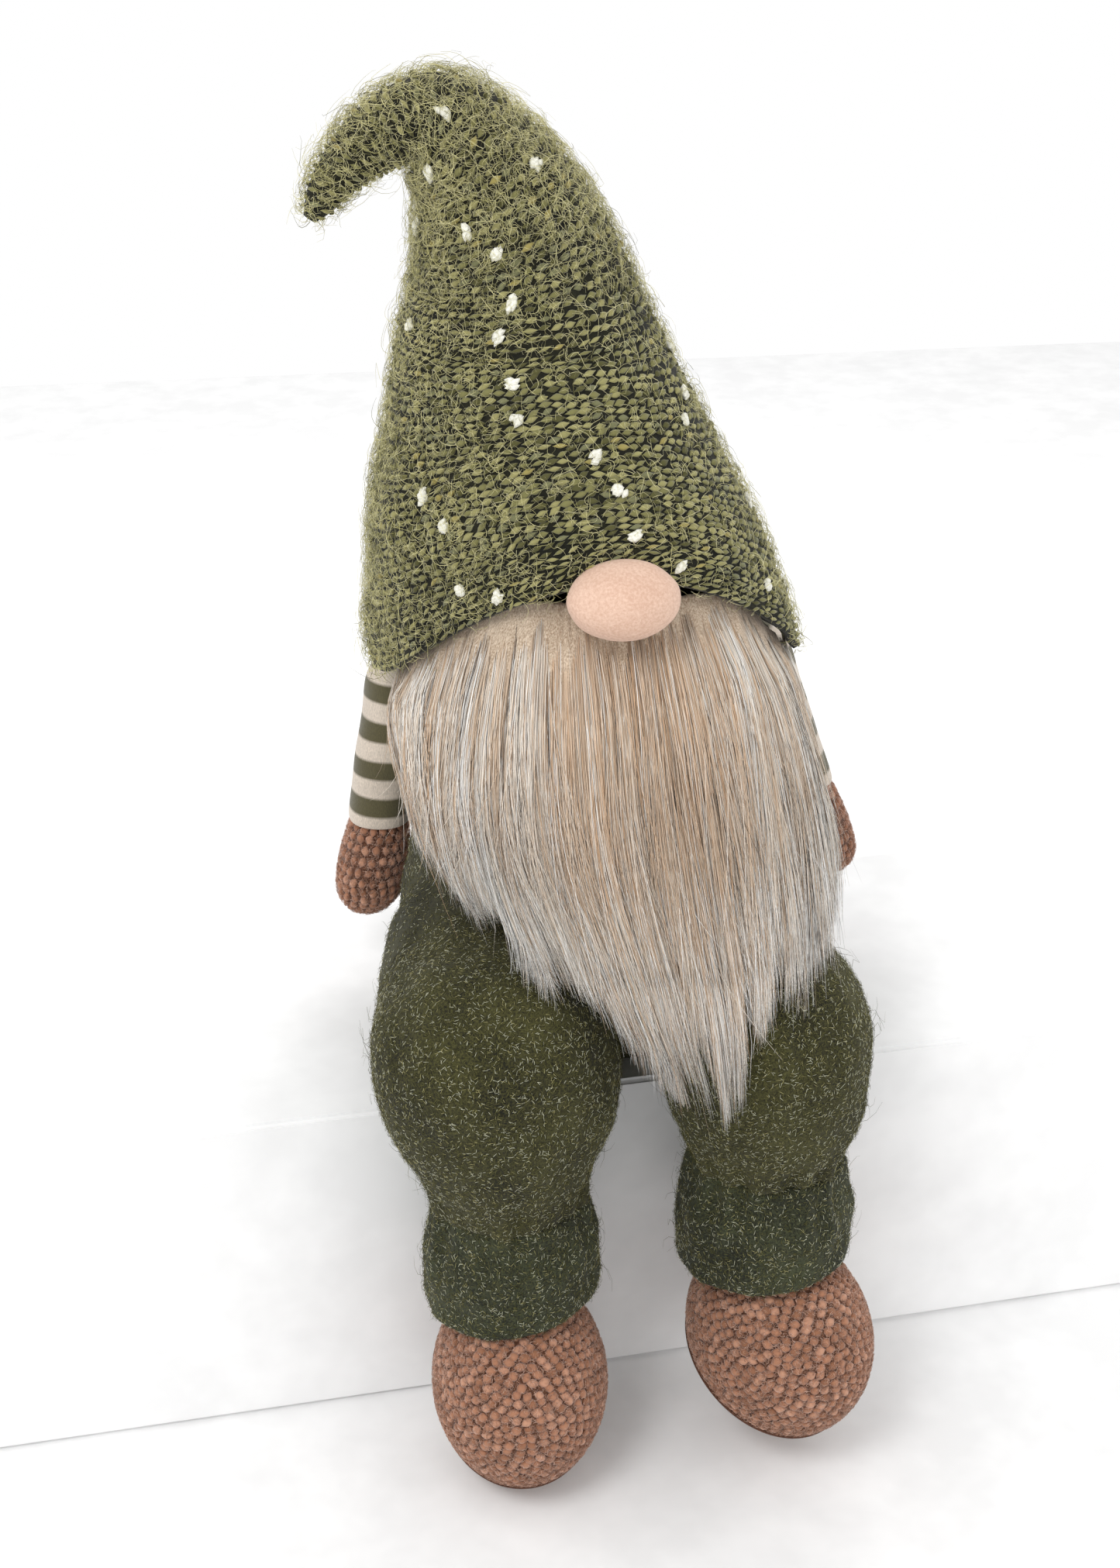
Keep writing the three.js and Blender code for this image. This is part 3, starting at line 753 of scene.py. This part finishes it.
def leg_rings(side, drop, width, lean, columns=72, **_):
    outline = leg_outline(drop)
    at = np.linspace(0, 1, 40)
    radius, z = curve(outline, at).T
    u = around(columns)
    hem = ANKLE_RIM + 6 - drop
    full = smooth(hem + 6, hem / 3, z)[:, None]
    r = np.maximum(radius - SLACK, 0.3)[:, None]
    x = r * np.cos(u) * (1 + (width - 1) * full) + lean * np.maximum(0, -z)[:, None]
    return np.stack([x, r * np.sin(u), z[:, None] * np.ones(columns)], -1) + [side * HIP[0], HIP[1], HIP[2]]


def haunch_rings(side, width, **_):
    """The part of the thigh that joins the body: a short thick sausage from the torso to the hip."""
    shape = ball_rings(24, 48)
    shape = np.stack([shape[..., 0] * width, -shape[..., 2], shape[..., 1]], -1) * (HIP_RADIUS - SLACK)
    reach = 74 * (shape[..., 1] > 0)
    shape[..., 1] += reach
    shape[..., 0] -= side * 0.14 * reach
    return (shape + [side * HIP[0], HIP[1], HIP[2]])[::-1]


def settle(obj):
    """Replaces the mesh by what its modifiers make of it."""
    graph = bpy.context.evaluated_depsgraph_get()
    data = bpy.data.meshes.new_from_object(obj.evaluated_get(graph))
    obj.modifiers.clear()
    old = obj.data
    obj.data = data
    bpy.data.meshes.remove(old)


def vertex_values(obj, key):
    values = np.empty(len(obj.data.vertices) * 3)
    obj.data.vertices.foreach_get(key, values)
    return values.reshape(-1, 3)


def coordinates(obj):
    return vertex_values(obj, "co") / MM


def set_coordinates(obj, p):
    obj.data.vertices.foreach_set("co", (p * MM).astype(np.float32).ravel())
    obj.data.update()


def inflated(obj, cap, pressure, hold):
    """Blows the cover up like the stuffed cloth it is, and lets no point move further than the cap."""
    before = coordinates(obj)
    group = obj.vertex_groups.new(name="held")
    weights = hold(before)
    for i in np.nonzero(weights > 0)[0]:
        group.add([int(i)], float(weights[i]), "REPLACE")
    cloth = obj.modifiers.new("cloth", "CLOTH")
    s = cloth.settings
    s.quality = 6
    s.mass = 0.15
    s.tension_stiffness = s.compression_stiffness = 12
    s.shear_stiffness = 4
    s.bending_stiffness = 0.4
    s.use_pressure = True
    s.uniform_pressure_force = pressure
    s.effector_weights.gravity = 0
    s.vertex_group_mass = "held"
    cloth.collision_settings.use_collision = False
    scene = bpy.context.scene
    for number in range(1, 21):
        scene.frame_set(number)
    settle(obj)
    scene.frame_set(1)
    after = coordinates(obj)
    move = after - before
    far = np.linalg.norm(move, axis=1, keepdims=True)
    set_coordinates(obj, before + move * np.minimum(1, cap / np.maximum(far, 1e-9)))
    obj.vertex_groups.clear()


def joined(name, solids, materials):
    for o in bpy.context.view_layer.objects:
        o.select_set(False)
    for o in solids:
        o.select_set(True)
    bpy.context.view_layer.objects.active = solids[0]
    bpy.ops.object.join()
    made = solids[0]
    made.name = name
    made.data.materials.clear()
    for m in materials:
        made.data.materials.append(m)
    return made


def held_places(p):
    """The seat and the ankles keep their places while the rest is blown up."""
    seat = smooth(4, 1, p[:, 2]) * (p[:, 1] > -125)
    return np.maximum(seat, smooth(10, 2, np.abs(p[:, 2] + 14)))


def overalls():
    parts = [ring_solid("part", torso_rings(), [])]
    for leg in LEGS.values():
        parts.append(ring_solid("part", leg_rings(**leg), []))
        parts.append(ring_solid("part", haunch_rings(**leg), []))
    whole = joined("overalls", parts, [TROUSERS])
    remesh = whole.modifiers.new("remesh", "REMESH")
    remesh.mode = "VOXEL"
    remesh.voxel_size = 0.0044
    relax = whole.modifiers.new("relax", "SMOOTH")
    relax.iterations = 4
    relax.factor = 0.5
    settle(whole)
    inflated(whole, cap=3.5, pressure=3.0, hold=held_places)
    fine = whole.modifiers.new("fine", "SUBSURF")
    fine.levels = 1
    settle(whole)
    p = coordinates(whole)
    normal = vertex_values(whole, "normal")
    for leg in LEGS.values():
        gather(p, normal, leg)
    p += normal * (lumps(p, 34, 31) * 0.9 + lumps(p, 12, 32) * 0.35)[:, None]
    p[:, 2] = np.where((p[:, 2] < 0.3) & (p[:, 1] > -80), 0.3, p[:, 2])
    set_coordinates(whole, p)
    return whole


def ankle_of(side, drop, lean, **_):
    return np.array([side * HIP[0] + lean * drop, HIP[1], HIP[2] - drop])


FOLD_DEPTH = 2.2


def folds(angle, side):
    r = np.random.default_rng(60 + side)
    return sum(np.cos(angle * n + r.uniform(0, 6)) for n in (8, 13, 18)) / 3


def gather(p, normal, leg):
    """Folds that run out of the drawn-in ankle."""
    centre = ankle_of(**leg)
    angle = np.arctan2(p[:, 1] - centre[1], p[:, 0] - centre[0])
    near = smooth(34, 9, p[:, 2] - centre[2]) * (np.hypot(*(p[:, :2] - centre[:2]).T) < 62)
    p += normal * (near * folds(angle, leg["side"]) * FOLD_DEPTH)[:, None]


def part_of(whole, name, keep, thickness=1.4):
    """The faces that keep picks, as a sheet with a thickness, cut where the next piece goes on."""
    data = whole.data
    p = coordinates(whole)
    normal = vertex_values(whole, "normal")
    corners = np.empty(len(data.polygons) * 4, np.int32)
    data.polygons.foreach_get("vertices", corners)
    quads = corners.reshape(-1, 4)
    quads = quads[keep(p[quads].mean(1))]
    used, flat = np.unique(quads, return_inverse=True)
    quads = flat.reshape(-1, 4)
    outer = p[used]
    inner = outer - normal[used] * thickness
    n = len(used)
    edges = np.concatenate([quads[:, [i, (i + 1) % 4]] for i in range(4)])
    keys = {tuple(e) for e in edges.tolist()}
    rim = np.array([e for e in edges.tolist() if (e[1], e[0]) not in keys])
    walls = np.stack([rim[:, 1], rim[:, 0], rim[:, 0] + n, rim[:, 1] + n], -1)
    faces = np.concatenate([quads, quads[:, ::-1] + n, walls])
    return make_mesh(name, np.concatenate([outer, inner]), [faces], [TROUSERS])


def trousers():
    whole = overalls()
    body = part_of(whole, "overalls_body", lambda c: (c[:, 1] > SPLIT_Y) | (c[:, 2] > SPLIT_HEIGHT))
    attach(body, "torso")
    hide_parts("overalls_torso")
    pieces = {"torso": body}
    for name, leg in LEGS.items():
        side = leg["side"]
        keep = lambda c: (c[:, 1] <= SPLIT_Y) & (c[:, 2] <= SPLIT_HEIGHT) & (side * c[:, 0] > 0)
        pieces[name] = part_of(whole, name + "_trousers", keep)
    bpy.data.objects.remove(whole)
    return pieces


clothes = trousers()


def nap_and_lurex(name, source, count, seed):
    """The fuzzy halo and the glittering short fibres of the brushed knit."""
    r = np.random.default_rng(seed)
    place, out = scatter(source, count, r)
    flat = unit(np.cross(out, unit(r.normal(size=(count, 3)))))
    length = r.uniform(0.8, 2.0, count)[:, None, None]
    t = np.linspace(-0.5, 0.5, 2)[None, :, None]
    lift = unit(flat + out * r.uniform(-0.15, 0.35, (count, 1)))
    paths = (place + out * 0.25)[:, None] + t * length * lift[:, None]
    slots = r.choice(3, count, p=[0.16, 0.3, 0.54])
    glitter = hairs(name + "_lurex", paths, np.full((count, 2), 0.085), LUREX, slots)
    few = count // 2
    place, out = scatter(source, few, r)
    nap = fuzz(
        name + "_nap", place, out, r.uniform(1.2, 3.2, few) * np.where(r.random(few) < 0.02, 4, 1),
        r.uniform(0.12, 0.2, few), 0.6, 0.25, NAP,
        r.choice(2, few, p=[0.6, 0.4]), r, 4,
    )
    return [glitter, nap]


for name, count in (("torso", 34000), ("left", 34000), ("right", 34000)):
    source = clothes[name]
    extra = nap_and_lurex(name + "_cloth", source, count, 50 + count // 1000 + len(name))
    if name == "torso":
        for piece in extra:
            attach(piece, "torso")
        continue
    for piece in [source, *extra]:
        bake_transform(piece)
    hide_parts(name + "_trouser_leg", name + "_ankle_elastic")


# ---- cuffs and boots
def cuff(name, leg):
    """The gathered end of the trouser leg: drawn in at the ankle, then straight down to a rolled hem."""
    ankle = ankle_of(**leg)
    outline = np.array([
        (30, -34), (32.5, -39), (34.2, -41), (35.6, -40.2), (36, -37), (36, -30), (36.2, -22), (35.6, -14),
        (33.6, -7), (32.3, -1), (31.2, 4), (28, 7), (22, 8),
    ])
    radius, z = curve(outline, np.linspace(0, 1, 60)).T
    u = around(160)
    near = smooth(-36, -4, z)[:, None]
    across = radius[:, None] + FOLD_DEPTH * near * folds(u, leg["side"])
    rings = np.stack([across * np.cos(u), across * np.sin(u), z[:, None] + 0 * u], -1)
    rings[..., 2] += HEM_SLANT * rings[..., 0] * smooth(-10, -34, z)[:, None]
    rings += ankle
    rings += unit((rings - ankle) * [1, 1, 0]) * (lumps(rings, 16, 61)[..., None] * 0.8)
    made = ring_solid(name + "_cuff_cloth", rings, [CUFF])
    extra = nap_and_lurex(name + "_cuff_cloth", made, 9000, 70 + leg["side"])
    for piece in [made, *extra]:
        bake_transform(piece)
    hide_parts(name + "_cuff")


def boot_place(shape, leg):
    return turn_z(turn_x(shape, BOOT_TILT) + BOOT_OFFSET, leg["turn"]) + ankle_of(**leg)


def chenille_lobes(name, skin, rows, pitch, slant, r, width, length):
    """Plump knitted lobes in a brick pattern, lying along the row and tilted by slant(u, v)."""
    made = []
    for k in range(rows):
        v = 0.015 + 0.97 * (k + 0.5) / rows
        u = skin.row(v, width, 0.5 * (k % 2))
        n = len(u)
        u = u + r.normal(0, 0.0018, n)
        p, a, b, o = skin.frame(u, np.full(n, v) + r.normal(0, 0.0026, n))
        tilt = (slant(u, v) + np.radians(r.normal(0, 14, n)))[:, None]
        place = p + o * r.uniform(0.1, 0.6, (n, 1))
        size = [length * r.uniform(0.9, 1.2, n), pitch * r.uniform(0.98, 1.22, n), r.uniform(2.4, 3.2, n)]
        made.append((place, *crossed(a, b, tilt), o, np.stack(size, -1)))
    stack = [np.concatenate(x) for x in zip(*made)]
    slots = r.choice(3, len(stack[0]), p=[0.56, 0.22, 0.22])
    return seeds(name, *stack, CHENILLE, slots, 8, (0.5, 0.86, 1, 0.86, 0.5))


def chenille_fuzz(name, source, count, r):
    place, out = scatter(source, count, r)
    length, width = r.uniform(0.9, 2.3, count), r.uniform(0.16, 0.3, count)
    slots = r.choice(4, count, p=[0.3, 0.25, 0.15, 0.3])
    return fuzz(name, place + out * 1.1, out, length, width, 0.6, 0.25, CHENILLE, slots, r, 4)


def sole_seam(name, leg):
    """A thin ridge that runs round the boot where the sole is sewn on."""
    count, sides = 140, 8
    u, turns = around(count), around(sides)[:, None]
    ring = np.stack([33.0 * np.cos(u), 40.5 * np.sin(u), -19 + 0 * u], -1)
    way = unit(ring * [1, 1, 0])
    ridge = ring[:, None] + 0.9 * (np.cos(turns) * way[:, None] + np.sin(turns) * [0, 0, 1.0])
    i, j = np.meshgrid(np.arange(count), np.arange(sides), indexing="ij")
    corner = lambda a, b: (a % count) * sides + b % sides
    quads = np.stack([corner(i, j), corner(i, j + 1), corner(i + 1, j + 1), corner(i + 1, j)], -1)
    points = boot_place(ridge.reshape(-1, 3), leg)
    return make_mesh(name + "_sole_seam", points, [quads.reshape(-1, 4)], [SOLE_SEAM])


def boot(name, leg):
    r = np.random.default_rng(80 + leg["side"])
    shape = ball_rings(90, 120) * (BOOT_HALF - 1.0)
    shape[..., 2] = np.where(shape[..., 2] < -34, -34 + (shape[..., 2] + 34) * 0.35, shape[..., 2])
    rings = boot_place(shape, leg)
    # the boot's ground shows between the lobes in its darker colour, which is painted shade
    base = ring_solid(name + "_boot", rings, [CHENILLE_SHADED_GROUND])
    skin = Skin(rings)
    slant = lambda u, v: -np.radians(28) * np.sign(np.cos(2 * np.pi * u)) * smooth(0.2, 0.6, v)
    lobes = chenille_lobes(name + "_boot_knit", skin, 36, 3.7, slant, r, 4.7, 4.9)
    wool = chenille_fuzz(name + "_boot_fuzz", base, 26000, r)
    seam = sole_seam(name, leg)
    for piece in (base, lobes, wool, seam):
        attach(piece, name + "_foot")
    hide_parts(name + "_boot_upper", name + "_boot_sole")


for name, leg in LEGS.items():
    cuff(name, leg)
    boot(name, leg)


# ---- arms
def arm(name, side, x, z, splay):
    r = np.random.default_rng(90 + side)
    shoulder_x, shoulder_z = x, z
    u = around(96)

    def turned(outline, steps, inset=0.0):
        radius, z = curve(outline, np.linspace(0, 1, steps)).T[..., None]
        radius = radius - inset
        return np.stack([
            radius * np.cos(u) + side * (shoulder_x - splay * z),
            radius * np.sin(u) + SHOULDER_DEPTH,
            z + shoulder_z + 0 * u,
        ], -1)

    end = -SLEEVE_LENGTH
    rings = turned([
        (13.2, end), (14.1, end + 1), (14.5, end + 6), (14.2, -45), (14.6, -30), (14.4, -14), (14.5, 0),
        (12.6, 7.5), (7.2, 12.8), (1, 14.5),
    ], 90)
    out = unit((rings - rings.mean(1, keepdims=True)))
    rings += out * (lumps(rings, 24, 91 + side) * 0.7)[..., None]
    sleeve = ring_solid(name + "_sleeve_cloth", rings, [JERSEY[name]])
    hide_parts(name + "_sleeve")
    tip = end - 0.4 - HAND_LENGTH
    rings = turned([
        (1, tip), (6, tip + 1.2), (10.5, tip + 4.5), (14, tip + 10), (15.2, tip + 17), (15.2, tip + 26),
        (14.2, tip + 36), (12.6, tip + 44), (9, end - 0.2),
    ], 60, inset=1.0)
    # the mitt's ground shows between the lobes in its darker colour, which is painted shade
    base = ring_solid(name + "_mitt", rings, [CHENILLE_SHADED_GROUND])
    upright = lambda u, v: np.radians(72) + 0 * u
    lobes = chenille_lobes(name + "_mitt_knit", Skin(rings), 14, 3.5, upright, r, 4.3, 5.2)
    wool = chenille_fuzz(name + "_mitt_fuzz", base, 6000, r)
    for piece in (sleeve, base, lobes, wool):
        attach(piece, name + "_arm")
    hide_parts(name + "_hand")


for name, place in ARMS.items():
    arm(name, **place)


# ---- beard
GUIDES = np.array([  # locks from root to tip, from the gnome's right to its left
    [(-79, -31, 182), (-86, -46, 168), (-86, -60, 155), (-82, -70, 142), (-77, -80, 129), (-72, -87, 117)],
    [(-63, -50, 203), (-71, -73, 174), (-73, -88, 151), (-69, -97, 133), (-63, -104, 118), (-57, -112, 106)],
    [(-43, -67, 218), (-50, -92, 182), (-52, -105, 152), (-49, -113, 127), (-44, -126, 109), (-38, -142, 94)],
    [(-20, -75, 220), (-24, -101, 182), (-24, -115, 148), (-20, -129, 118), (-13, -149, 94), (-6, -163, 72)],
    [(0, -75, 214), (1, -101, 178), (3, -116, 145), (9, -135, 111), (16, -160, 82), (23, -170, 48)],
    [(22, -75, 220), (27, -101, 184), (30, -116, 150), (32, -134, 113), (33, -160, 84), (34, -170, 52)],
    [(44, -66, 217), (52, -90, 184), (55, -104, 154), (56, -117, 124), (55, -138, 101), (53, -160, 78)],
    [(62, -49, 203), (70, -69, 176), (75, -82, 152), (77, -92, 127), (76, -106, 104), (72, -124, 82)],
    [(76, -29, 184), (79, -45, 170), (82, -58, 151), (84, -67, 130), (87, -76, 108), (85, -86, 88)],
], float)


def beard_at(u, v):
    """The beard's outer surface: u across from -1 to 1, v down from the root at 0 to the tip at 1."""
    u, v = np.broadcast_arrays(np.asarray(u, float), np.asarray(v, float))
    shape = u.shape
    u, v = u.ravel(), v.ravel()
    beyond = np.maximum(v - 1, 0)
    columns = np.stack([curve(g, v) for g in GUIDES], 1)
    a = np.clip((u + 1) / 2, 0, 1) * (len(GUIDES) - 1)
    i = np.minimum(a.astype(int), len(GUIDES) - 2)
    f = (a - i)[:, None]
    n = np.arange(len(u))
    before, after = np.maximum(i - 1, 0), np.minimum(i + 2, len(GUIDES) - 1)
    p0, p1, p2, p3 = columns[n, before], columns[n, i], columns[n, i + 1], columns[n, after]
    point = 0.5 * (
        2 * p1 + (p2 - p0) * f + (2 * p0 - 5 * p1 + 4 * p2 - p3) * f**2 + (3 * p1 - p0 - 3 * p2 + p3) * f**3
    )
    point[:, 2] -= beyond * 150
    point[:, 0] += np.maximum(np.abs(u) - 1, 0) * np.sign(u) * 60
    return point.reshape(*shape, 3)


def beard_frame(u, v):
    """Place, way across and way out, which is always forwards."""
    e = 0.01
    across = beard_at(u + e, v) - beard_at(u - e, v)
    down = beard_at(u, v + e) - beard_at(u, v - e)
    out = unit(np.cross(across, down))
    return beard_at(u, v), unit(across), np.where(out[..., 1:2] > 0, -out, out)


def underfur():
    """The dense wool below the long hairs, lying on its woven backing."""
    u, v = np.meshgrid(np.linspace(-1, 1, 150), np.linspace(0, 0.56, 90))
    p, _, out = beard_frame(u, v)
    streaks = lumps(np.stack([u * 90, 0 * u, v * 14], -1), 2.2, 101)
    thin = smooth(0.56, 0.4, v) * smooth(1, 0.85, np.abs(u))
    top = p + out * (-4.5 + streaks * 0.7)[..., None]
    back = p - out * (5 + 9 * thin)[..., None]
    rows, columns = u.shape
    index = np.arange(rows * columns).reshape(rows, columns)
    a, b, c, d = index[:-1, :-1], index[:-1, 1:], index[1:, 1:], index[1:, :-1]
    n = rows * columns
    front = np.stack([a, d, c, b], -1).reshape(-1, 4)
    behind = np.stack([a, b, c, d], -1).reshape(-1, 4) + n
    border = np.concatenate([index[0, :], index[1:, -1], index[-1, -2::-1], index[-2:0:-1, 0]])
    after = np.roll(border, -1)
    walls = np.stack([border, after, after + n, border + n], -1)
    points = np.concatenate([top.reshape(-1, 3), back.reshape(-1, 3)])
    return make_mesh("beard_underfur", points, [np.concatenate([front, behind, walls])], [UNDERFUR])


def long_hairs():
    r = np.random.default_rng(110)
    count = 30000
    locks, clumps = 420, 27
    lock_u = np.sort(r.uniform(-1.03, 1.03, locks))
    clump_u = np.linspace(-1, 1, clumps) + r.normal(0, 0.02, clumps)
    clump_reach = r.normal(0, 0.12, clumps)
    lock_sway = r.normal(0, 0.035, locks)
    root_v = np.where(r.random(count) < 0.3, r.uniform(0, 0.03, count), r.beta(1.0, 1.7, count) * 0.66)
    u = r.uniform(-1.02, 1.02, count)
    lock = np.clip(np.searchsorted(lock_u, u + r.normal(0, 0.008, count)), 0, locks - 1)
    clump = np.abs(clump_u[None] - lock_u[:, None]).argmin(1)[lock]
    lock_reach = r.normal(0, 0.04, locks)[lock]
    short = r.random(count) ** 1.3 * 0.42
    end_v = np.clip(0.97 + clump_reach[clump] + lock_reach - short, 0.5, 1.03)
    end_v = np.maximum(end_v, root_v + 0.2)
    steps = 11
    t = np.linspace(0, 1, steps)
    v = root_v[:, None] + (end_v - root_v)[:, None] * t
    into_lock = (0.5 * t**1.4)[None]
    us = u[:, None] * (1 - into_lock) + lock_u[lock][:, None] * into_lock
    gather_in = 0.85 * smooth(0.42, 1.05, v)
    us = us * (1 - gather_in) + clump_u[clump][:, None] * gather_in
    flow = 0.035 * lumps(np.stack([u[:, None] * 60 + 0 * v, 0 * v, v * 45], -1), 34, 113)
    us = us + (r.normal(0, 0.016, (count, 1)) + lock_sway[lock][:, None]) * t**1.5 + flow * t
    us = us + 0.006 * np.sin(t * 5 + r.uniform(0, 6.3, (count, 1)))
    p, across, out = beard_frame(us, v)
    rise = smooth(0, 0.3, t)
    low_down = smooth(0.2, 0.55, root_v)
    right_side = smooth(0.25, 0.8, u) * smooth(0.1, 0.35, root_v)
    guard = r.random(count) < 0.012 + 0.08 * low_down + 0.08 * right_side
    layer = np.where(guard, r.uniform(4.5, 7.2, count), r.uniform(0.3, 6.2, count))
    wave = 1.6 * lumps(np.stack([us * 60, 0 * us, v * 26], -1), 16, 112)
    off_middle = np.abs(u[:, None] - clump_u[clump][:, None]) * clumps
    ridge = 3.2 * (1 - np.minimum(off_middle, 1.4) ** 2) * smooth(0.2, 0.7, v)
    depth = -5.5 + rise[None] * (layer[:, None] + wave + ridge - 1)
    depth = depth + r.normal(0, 1.2, (count, 1)) * t**2 * 2
    p = p + out * depth[..., None]
    stray = (r.random((count, 1)) < 0.03) * t**2 * r.normal(0, 1, (count, 1))
    p = p + across * (stray * 9)[..., None] + out * (np.abs(stray) * 4)[..., None]
    taper = np.interp(t, [0, 0.15, 0.6, 1], [0.6, 1, 0.8, 0.2])
    width = r.uniform(0.15, 0.32, count)[:, None] * taper
    slots = hair_slots(u, root_v, v, lock, r)
    slots = np.where(guard[:, None], DARK, slots)
    return u, p, np.where(guard[:, None], width * 0.75, width) / 2, slots


def hair_slots(u, root_v, v, lock, r):
    """The colour of each step of each hair: warm below the nose, pale streaks, white and dark ends."""
    count, steps = v.shape
    pick, fate = r.random(count), r.random(count)
    streak = lumps(np.stack([u * 80, 0 * u, root_v * 9], -1), 17, 111)
    tone = np.where(pick < 0.42, CREAM, np.where(pick < 0.66, SILVER, np.where(pick < 0.86, TAN, TAUPE)))
    tone = np.where((streak > 0.3) & (fate < 0.3), WHITE, tone)
    tone = np.where((streak < -0.25) & (fate < 0.55), np.where(pick < 0.5, TAUPE, TAN), tone)
    tones, shares = [CREAM, WHITE, SILVER, TAN, TAUPE, GINGER], [0.38, 0.2, 0.12, 0.19, 0.06, 0.05]
    lock_tone = r.choice(tones, lock.max() + 1, p=shares)
    tone = np.where(r.random(count) < 0.55, lock_tone[lock], tone)
    near_nose = smooth(0.6, 0.1, np.abs(u - 0.05)) * smooth(0.45, 0.05, root_v)
    warm = np.where(pick < 0.5, TAN, np.where(pick < 0.74, GINGER, np.where(pick < 0.9, TAUPE, CREAM)))
    tone = np.where(r.random(count) < near_nose * 0.8, warm, tone)
    slots = np.repeat(tone[:, None], steps - 1, 1)
    low = v[:, 1:] > r.uniform(0.55, 1.0, (count, 1))
    slots = np.where(low & (r.random((count, 1)) < 0.55), WHITE, slots)
    roots = (v[:, 1:] < root_v[:, None] + 0.06) & (r.random((count, 1)) < 0.45)
    slots = np.where(roots, TAUPE, slots)
    tips = v[:, 1:] > r.uniform(0.84, 1.05, (count, 1))
    return np.where(tips & (r.random((count, 1)) < 0.3), DARK, slots)


CUT_HEIGHT = 96  # below this the hair lies on the legs, and is cut off into pieces of its own


def cut_paths(paths, radii, slots, steps_above, steps_below):
    """Divides each hair at the cut height, into the part above it and the part below."""
    count, steps = paths.shape[:2]
    fine = 40
    t = np.linspace(0, steps - 1, fine)
    i = np.minimum(t.astype(int), steps - 2)
    f = (t - i)[None, :, None]
    dense = paths[:, i] * (1 - f) + paths[:, i + 1] * f
    under = dense[..., 2] < CUT_HEIGHT
    first = np.where(under.any(1), under.argmax(1), fine - 1)

    def resample(indices, n, a, b):
        s = a[:, None] + (b - a)[:, None] * np.linspace(0, 1, n)[None]
        k = np.minimum(s.astype(int), steps - 2)
        g = s - k
        rows = indices[:, None]
        q = paths[rows, k] * (1 - g[..., None]) + paths[rows, k + 1] * g[..., None]
        w = radii[rows, k] * (1 - g) + radii[rows, k + 1] * g
        mid = np.minimum(((s[:, 1:] + s[:, :-1]) / 2).astype(int), steps - 2)
        return q, w, slots[rows, mid]

    everything = np.arange(count)
    cut = t[first]
    starts_above = first > 0
    a = everything[starts_above]
    above = resample(a, steps_above, np.zeros(len(a)), cut[a])
    b = everything[under.any(1)]
    begin = np.where(first[b] > 0, cut[b] - (t[1] - t[0]), 0)
    below = resample(b, steps_below, begin, np.full(len(b), steps - 1.0))
    return (a, above), (b, below)


def beard():
    base = underfur()
    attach(base, "beard")
    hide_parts("beard_pile", "beard_backing")
    u, paths, radii, slots = long_hairs()
    (a, above), (_, below) = cut_paths(paths, radii, slots, 9, 6)
    edges = np.quantile(u[a], [0, 0.25, 0.5, 0.75, 1])
    for k in range(4):
        pick = (u[a] >= edges[k]) & ((u[a] < edges[k + 1]) | (k == 3))
        piece = hairs(f"beard_hair_{k + 1}", above[0][pick], above[1][pick], FUR, above[2][pick])
        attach(piece, "beard")
    for side, name in ((-1, "right"), (1, "left")):
        pick = below[0][:, 0, 0] * side > 0
        piece = hairs(f"beard_fringe_{name}", below[0][pick], below[1][pick], FUR, below[2][pick])
        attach(piece, "beard")
        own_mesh(piece)


beard()


# ---- the pieces kept from the CAD part
KEPT = {
    "stuffing": FILLING, "filling": FILLING, "weight_bag": GRANULES, "seat_panel": SEAT_CLOTH,
    "beard_backing": BACKING, "wire": STEEL,
}
for name, node in frame["nodes"].items():
    for word, material in KEPT.items():
        if word in name:
            node.data.materials.clear()
            node.data.materials.append(material)
